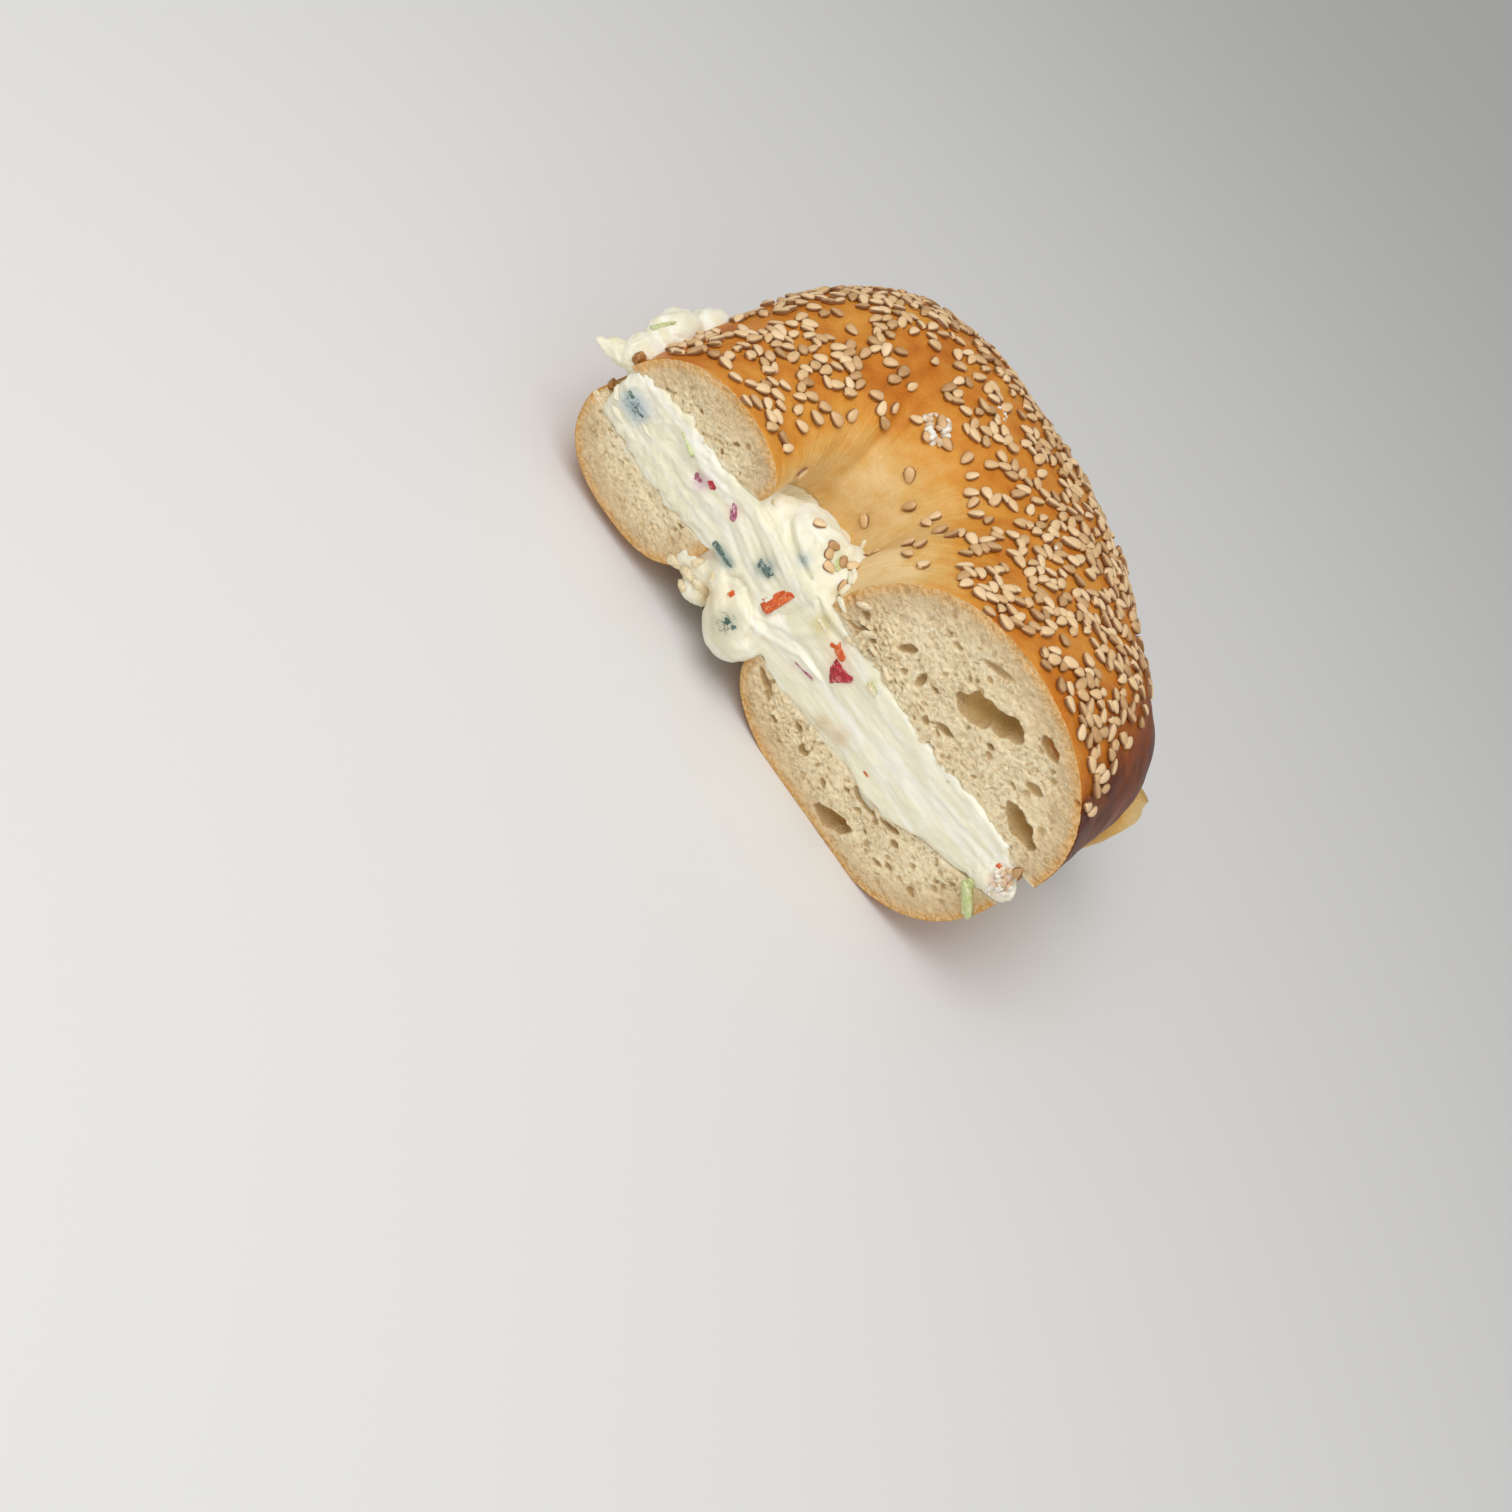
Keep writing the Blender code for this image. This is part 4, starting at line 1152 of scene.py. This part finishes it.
def shape_cheese(blank):
    """Join the shells by voxels, soften them and press the marks in; flat places then get fewer faces."""
    item = finished_object("cream_cheese_layer", blank, cheese_look)
    voxels = item.modifiers.new("voxels", "REMESH")
    voxels.mode, voxels.voxel_size = "VOXEL", CHEESE_VOXEL * MILLIMETRE
    data = plain_mesh(item)
    bpy.data.objects.remove(item, do_unlink=True)
    mesh = bmesh.new()
    mesh.from_mesh(data)
    bmesh.ops.scale(mesh, vec=(1 / MILLIMETRE,) * 3, verts=mesh.verts)
    bmesh.ops.translate(mesh, vec=PLAN_CENTRE, verts=mesh.verts)
    all_ways = {"use_axis_x": True, "use_axis_y": True, "use_axis_z": True}
    for _ in range(CHEESE_SMOOTHINGS):
        bmesh.ops.smooth_vert(mesh, verts=mesh.verts, factor=0.5, **all_ways)
    draw_strokes(mesh, CHEESE_STROKES)
    mesh.normal_update()
    for vert in mesh.verts:
        vert.co += vert.normal * knife_marks(vert.co) * (1 - covered(vert.co, vert.normal))
    mesh.to_mesh(data)
    mesh.free()
    item = bpy.data.objects.new("cheese to thin", data)
    bpy.context.scene.collection.objects.link(item)
    item.modifiers.new("thin", "DECIMATE").ratio = CHEESE_KEPT
    data = plain_mesh(item)
    bpy.data.objects.remove(item, do_unlink=True)
    mesh = bmesh.new()
    mesh.from_mesh(data)
    mesh.normal_update()
    return mesh


def stain_and_shade_cheese(mesh):
    """Keep each point's tint from nearby vegetables, and its painted shade, as a colour attribute, its
    strength in alpha.
    """
    layer = mesh.verts.layers.float_color.new("stain_and_shade")
    places = np.array([vert.co for vert in mesh.verts])
    pixels, _ = photo_pixels(places)
    total = np.zeros((len(places), 4))
    for place, radius, colour, strength in CHEESE_STAINS_AND_SHADE:
        share = strength * np.exp(-((pixels - place) ** 2).sum(1) / radius ** 2) * (places[:, 1] < 18)
        total[:, :3] += share[:, None] * np.array(colour[:3])
        total[:, 3] += share
    total[:, :3] /= np.maximum(total[:, 3:], 1e-6)
    for vert, tint in zip(mesh.verts, total):
        vert[layer] = (*tint[:3], min(tint[3], 1))


def cheese_material():
    """White cheese in faint streaks, tinted by its stains and painted shade, with fine veins where a stain is
    strong.
    """
    material, tree, shader = new_material("cream_cheese")
    streaks = grain(tree, 260, 6, 0.6, (0.25, 0.6, 2.2))
    white = mix_colours(tree, spread(tree, streaks, 0.35, 0.7), CHEESE_DULL, CHEESE_BRIGHT)
    blotch = spread(tree, grain(tree, 110, 3, 0.5), 0.45, 0.75)
    white = mix_colours(tree, sum_of(tree, (blotch, 0.4)), white, CHEESE_CREAMY)
    # The attribute holds the vegetables' tints and a little painted shade
    stain_and_shade = wire(tree, "ShaderNodeAttribute", {}, attribute_name="stain_and_shade").outputs
    blot = sum_of(tree, (stain_and_shade["Alpha"], 1.5), (grain(tree, 700, 5, 0.6), 0.8), (1.0, -0.45))
    blot = product(tree, spread(tree, blot, 0.0, 1.0), stain_and_shade["Alpha"])
    white = mix_colours(tree, blot, white, stain_and_shade["Color"])
    thread = magnitude(tree, sum_of(tree, (grain(tree, 520, 5, 0.65), 1.0), (1.0, -0.5)))
    thread = spread(tree, thread, 0.0, 0.035, 1.0, 0.0)
    thread = product(tree, thread, spread(tree, stain_and_shade["Alpha"], 0.66, 0.92))
    vein = mix_colours(tree, 1.0, stain_and_shade["Color"], stain_and_shade["Color"], "MULTIPLY")
    vein = mix_colours(tree, 1.0, vein, vein, "MULTIPLY")
    tree.links.new(mix_colours(tree, thread, white, vein), shader.inputs["Base Color"])
    shader.inputs["Roughness"].default_value = CHEESE_ROUGHNESS
    soften(shader, 0.25, (1.0, 0.85, 0.6), 0.0012)
    height = sum_of(tree, (grain(tree, 420, 6, 0.6, (0.4, 0.7, 1.7)), 1.0), (grain(tree, 2200, 4, 0.6), 0.25))
    roughen(tree, shader, height, 0.45, 0.0005)
    return material


cheese_look = cheese_material()
cheese_mesh = shape_cheese(cheese_blank())
stain_and_shade_cheese(cheese_mesh)
cheese = finished_object("cream_cheese_layer", cheese_mesh, cheese_look)
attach(cheese, "root")
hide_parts("cream_cheese")

# Vegetable bits
# Carrot, sweet pepper, radish and chives, chopped fine and stirred into the cheese. The knife laid
# them open on the cut, so each sits in the cheese where the photograph shows it.
BIT_THICKNESS = 1.6            # millimetres, most of it sunk in the cheese
CHOPPED = 0.42                 # roundness of a bit, from a block at 0 to a ball at 1
# Photograph pixel, length and width in pixels, turn in degrees, how proud in millimetres, taper
CARROT_BITS = (
    ((783, 598), 46, 13, 22, 0.50, 0.22),
    ((732, 594), 8, 7, 30, 0.20, 0.0),
    ((840, 653), 19, 9, -66, 0.25, 0.2),
    ((834, 646), 9, 5, -20, 0.18, 0.2),
    ((866, 774), 9, 3, -60, 0.10, 0.3),
    ((1000, 866), 6, 4, 40, 0.25, 0.0),
)
PEPPER_BITS = (
    ((842, 677), 25, 14, -4, 0.32, 0.60),
    ((838, 664), 10, 5, -50, 0.16, 0.1),
    ((712, 486), 8, 12, 20, 0.14, 0.1),
)
RADISH_BITS = (
    ((734, 511), 20, 8, 82, 0.14, 0.1),
    ((701, 480), 20, 7, -38, 0.12, 0.4),
    ((800, 667), 40, 2.0, -33, 0.12, 0.2),
    ((1004, 888), 9, 6, 30, 0.3, 0.1),
)
CHIVE_BITS = (
    ((723, 556), 30, 5, -58, 0.10, 0.5),
    ((728, 563), 14, 4, -50, 0.10, 0.3),
    ((764, 570), 20, 10, -35, 0.14, 0.2),
    ((758, 566), 9, 5, 40, 0.10, 0.2),
    ((726, 621), 10, 7, -30, 0.10, 0.2),
    ((733, 628), 7, 5, 40, 0.08, 0.2),
    ((631, 395), 10, 5, -60, 0.06, 0.2),
    ((640, 414), 15, 5, -40, 0.06, 0.3),
    ((634, 420), 12, 3, 30, 0.06, 0.2),
)
PALE_GREENS = (
    ((685, 438), 44, 3, -66, 0.08, 0.3),
    ((663, 325), 26, 4, 12, 0.15, 0.2),
    ((838, 565), 10, 13, -30, 0.30, 0.1),
    ((877, 692), 22, 4, -62, 0.10, 0.2),
)
SHREDS = (((969, 896), 42, 9, 72, 1.4, 0.10), ((973, 884), 18, 6, 40, 1.5, 0.2))


def frame_ray(pixel):
    """Where the photograph's camera stands and the way it looks through a pixel, in the frame."""
    right, up, back = photo_axes()
    aside, above = (pixel[0] - PHOTO_MIDDLE) / PHOTO_FOCUS, (PHOTO_MIDDLE - pixel[1]) / PHOTO_FOCUS
    return CAMERA_PLACE, (right * aside + up * above - back).normalized()


def surfaces(*pieces):
    graph = bpy.context.evaluated_depsgraph_get()
    return [BVHTree.FromObject(piece, graph) for piece in pieces]


def land_on(trees, pixel):
    """Where a pixel of the photograph lands on the nearest surface, in millimetres, and its normal."""
    start, sight = frame_ray(pixel)
    hits = [tree.ray_cast(start, sight) for tree in trees]
    hits = [hit for hit in hits if hit[0] is not None]
    if not hits:
        return None
    place, normal, _, _ = min(hits, key=lambda hit: hit[3])
    return place / MILLIMETRE + PLAN_CENTRE, normal


def pixel_size(place):
    """Millimetres that one pixel of the photograph covers at a place of the bagel."""
    return ((place - PLAN_CENTRE) * MILLIMETRE - CAMERA_PLACE).length / PHOTO_FOCUS / MILLIMETRE


def lay_on(place, normal, turn):
    """Axes at a place: Z out of the surface, X along the photograph's right turned by some degrees."""
    right, up, _ = photo_axes()
    angle = math.radians(turn)
    along = right * math.cos(angle) + up * math.sin(angle)
    along = (along - normal * along.dot(normal)).normalized()
    return Matrix.Translation(place) @ Matrix((along, normal.cross(along), normal)).transposed().to_4x4()


def chunk(mesh, matrix, size, taper, squareness, seed):
    """A chopped piece: a ball squared off, narrower towards +X, with an uneven skin."""
    for vert in bmesh.ops.create_icosphere(mesh, subdivisions=3, radius=1.0)["verts"]:
        raw = vert.co.copy()
        shaped = Vector([signed_power(value, squareness) for value in raw])
        apart = Vector((seed, 0.0, 0.0))
        shaped *= 1 + 0.26 * noise.noise(raw * 1.6 + apart) + 0.16 * noise.noise(raw * 4 + apart)
        narrow = 1 - taper * shaped.x
        across = shaped.y * narrow * size[1] / 2
        vert.co = matrix @ Vector((shaped.x * size[0] / 2, across, shaped.z * size[2] / 2))


def soft_material(name, main, deep, light):
    """A moist, mottled finish; the colours are display colours, 0 to 255."""
    material, tree, shader = new_material(name)
    flecks = spread(tree, grain(tree, 1700, 4, 0.6), 0.38, 0.62)
    colour = mix_colours(tree, flecks, linear(*deep), linear(*main))
    pale = spread(tree, grain(tree, 900, 4, 0.7), 0.52, 0.66, 0.0, 0.75)
    tree.links.new(mix_colours(tree, pale, colour, linear(*light)), shader.inputs["Base Color"])
    shader.inputs["Roughness"].default_value = 0.32
    soften(shader, 0.2, (1.0, 0.6, 0.4), 0.0008)
    roughen(tree, shader, grain(tree, 2200, 4, 0.6), 0.5, 0.0003)
    return material


def set_bits(name, bits, material, trees, squareness=CHOPPED):
    """Lay one piece's bits where their pixels land on the surfaces."""
    mesh = bmesh.new()
    for index, (pixel, length, width, turn, proud, taper) in enumerate(bits):
        place, normal = land_on(trees, pixel)
        scale = pixel_size(place)
        matrix = lay_on(place - normal * (BIT_THICKNESS / 2 - proud), normal, turn)
        size = (length * scale, width * scale, BIT_THICKNESS)
        chunk(mesh, matrix, size, taper, squareness, 3.1 * index)
    piece = finished_object(name, mesh, material)
    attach(piece, "root")


cheese_face = surfaces(cheese)
carrot_look = soft_material("carrot", (232, 108, 36), (206, 80, 24), (244, 184, 130))
pepper_look = soft_material("red_pepper", (196, 44, 56), (150, 22, 36), (232, 150, 150))
radish_look = soft_material("radish", (202, 128, 150), (160, 76, 100), (238, 216, 222))
chive_look = soft_material("chive", (98, 124, 112), (58, 88, 80), (206, 214, 206))
pale_look = soft_material("pale_green", (220, 224, 172), (194, 206, 132), (244, 244, 220))
set_bits("carrot_bits", CARROT_BITS, carrot_look, cheese_face)
set_bits("pepper_bits", PEPPER_BITS, pepper_look, cheese_face)
set_bits("radish_bits", RADISH_BITS, radish_look, cheese_face)
set_bits("chive_bits", CHIVE_BITS, chive_look, cheese_face)
set_bits("pale_green_bits", PALE_GREENS, pale_look, cheese_face)
set_bits("chive_shreds", SHREDS, pale_look, surfaces(heel))

# Smears, torn crumb and scraps of crust
# The knife wiped cheese onto the crust, tore strands of crumb beside the hole and left two scraps of
# crust at the thin arm. Each lies on whatever is under it.
SMEARED = 0.85                 # softer than a chopped bit
CREAM_SMEARS = (
    ((853, 578), 24, 12, -62, 1.0, 0.25),
    ((846, 591), 16, 8, -20, 0.9, 0.1),
    ((862, 549), 20, 5, 58, 0.7, 0.2),
    ((843, 606), 20, 6, -68, 0.6, 0.3),
    ((618, 415), 26, 7, -62, 0.4, 0.3),
    ((616, 392), 18, 7, -70, 0.5, 0.3),
    ((646, 430), 22, 6, -58, 0.4, 0.3),
)
TORN_CRUMB = (
    ((822, 623), 27, 9, -62, 0.06, 0.3),
    ((856, 622), 26, 6, -48, 0.6, 0.3),
    ((869, 634), 20, 6, -30, 0.6, 0.2),
    ((852, 642), 18, 6, -44, 0.5, 0.2),
    ((876, 654), 20, 5, -56, 0.5, 0.2),
    ((866, 606), 18, 6, -20, 0.5, 0.2),
    ((888, 628), 18, 6, -62, 0.4, 0.2),
    ((886, 672), 22, 6, -52, 0.5, 0.3),
    ((900, 690), 18, 5, -48, 0.4, 0.2),
    ((872, 690), 16, 6, -70, 0.5, 0.2),
    ((898, 652), 14, 5, -20, 0.4, 0.2),
    ((676, 562), 22, 12, -30, 0.8, 0.1),
    ((688, 574), 20, 10, -62, 0.9, 0.2),
    ((702, 588), 22, 10, -40, 0.7, 0.2),
    ((698, 562), 14, 8, 25, 0.6, 0.1),
    ((682, 586), 14, 8, -70, 0.6, 0.2),
    ((712, 578), 12, 7, 60, 0.5, 0.1),
)
CRUST_SCRAPS = (((640, 357), 13, 9, 40, 1.1, 0.1), ((612, 386), 14, 9, 60, 1.0, 0.2))

cream_look = soft_material("cream_smear", (246, 239, 214), (238, 228, 198), (252, 248, 234))
torn_look = soft_material("torn_crumb", (240, 224, 188), (226, 204, 162), (253, 246, 226))
scrap_look = soft_material("crust_scraps", (188, 132, 66), (150, 96, 40), (226, 184, 122))
food_faces = surfaces(cheese, crown, heel)
set_bits("cream_smears", CREAM_SMEARS, cream_look, food_faces, squareness=SMEARED)
set_bits("torn_crumb", TORN_CRUMB, torn_look, food_faces, SMEARED)
set_bits("crust_scraps", CRUST_SCRAPS, scrap_look, food_faces)

# Loose crumbs, flakes of cheese and stuck seeds
# The knife tore the crumb beside the hole and left flakes of it, and of cheese, along the cut and on
# the seeds. A few seeds fell on the soft heap and stuck there.
# Photograph pixel, radius in pixels of the patch, number of flakes, smallest and largest in millimetres
FLAKE_PATCHES = (
    ((936, 428), 14, 18, 1.2, 2.6),
    ((1000, 415), 7, 6, 0.8, 1.6),
    ((1058, 545), 4, 2, 0.6, 1.1),
    ((1004, 878), 11, 22, 0.7, 1.7),
    ((996, 892), 9, 14, 0.7, 1.7),
)
FLAKE_DRAW = 5
FLAKE_BROWN, FLAKE_WHITE = linear(224, 190, 152), linear(252, 247, 232)
FLAKE_ROUGHNESS = 0.85
FLAKE_SHAPE = (1.0, 0.7, 0.55)               # length, width and thickness, as shares of its size
STUCK_SCALE = 0.86
# Photograph pixel, turn in degrees, tint from 0 pale to 1 toasted
STUCK_SEEDS = (
    ((834, 546), -12, 0.95), ((829, 553), 60, 0.7), ((843, 562), 62, 1.0), ((829, 567), -40, 0.3),
    ((820, 524), -25, 0.1), ((853, 566), 20, 0.2), ((1018, 872), 40, 0.9), ((843, 586), 80, 0.6),
)


def flake_material():
    material, tree, shader = new_material("crumb_flakes")
    tone = spread(tree, grain(tree, 420, 3), 0.40, 0.58)
    tree.links.new(mix_colours(tree, tone, FLAKE_BROWN, FLAKE_WHITE), shader.inputs["Base Color"])
    shader.inputs["Roughness"].default_value = FLAKE_ROUGHNESS
    soften(shader, 0.2, (1.0, 0.8, 0.5), 0.001)
    roughen(tree, shader, grain(tree, 2400, 4, 0.6), 0.6, 0.0004)
    return material


def scatter_flakes(trees):
    mesh = bmesh.new()
    draw = random.Random(FLAKE_DRAW)
    for (px, py), radius, count, small, large in FLAKE_PATCHES:
        for _ in range(count):
            angle, far = draw.uniform(0, 2 * math.pi), radius * draw.random() ** 0.5
            found = land_on(trees, (px + far * math.cos(angle), py + far * math.sin(angle)))
            size = draw.uniform(small, large)
            turn, lean = draw.uniform(0, 360), draw.uniform(-0.6, 0.6)
            if found is None:
                continue
            place, normal = found
            normal = (normal + Vector((lean, 0, draw.uniform(-0.5, 0.5)))).normalized()
            verts = bmesh.ops.create_icosphere(mesh, subdivisions=2, radius=0.5)["verts"]
            matrix = lay_on(place + normal * 0.1 * size, normal, turn)
            for vert in verts:
                rough = 1 + 0.55 * noise.noise(vert.co * 2.4 + Vector((px + angle, py, size * 9)))
                shaped = [value * size * share * rough for value, share in zip(vert.co, FLAKE_SHAPE)]
                vert.co = matrix @ Vector(shaped)
    piece = finished_object("crumb_flakes", mesh, flake_material())
    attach(piece, "root")


def stick_seeds(trees):
    shape = seed_shape()
    mesh = bmesh.new()
    for pixel, turn, tint in STUCK_SEEDS:
        place, normal = land_on(trees, pixel)
        known = set(mesh.verts)
        mesh.from_mesh(shape.data)
        tint_layer = mesh.verts.layers.float.get("tint") or mesh.verts.layers.float.new("tint")
        matrix = lay_on(place + normal * 0.1, normal, turn)
        for vert in mesh.verts:
            if vert not in known:
                vert.co = matrix @ (vert.co / MILLIMETRE * STUCK_SCALE)
                vert[tint_layer] = tint
    bpy.data.objects.remove(shape, do_unlink=True)
    piece = finished_object("stuck_seeds", mesh, seed_look)
    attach(piece, "root")


scatter_flakes(surfaces(cheese, crown, heel, seeds))
stick_seeds(cheese_face)
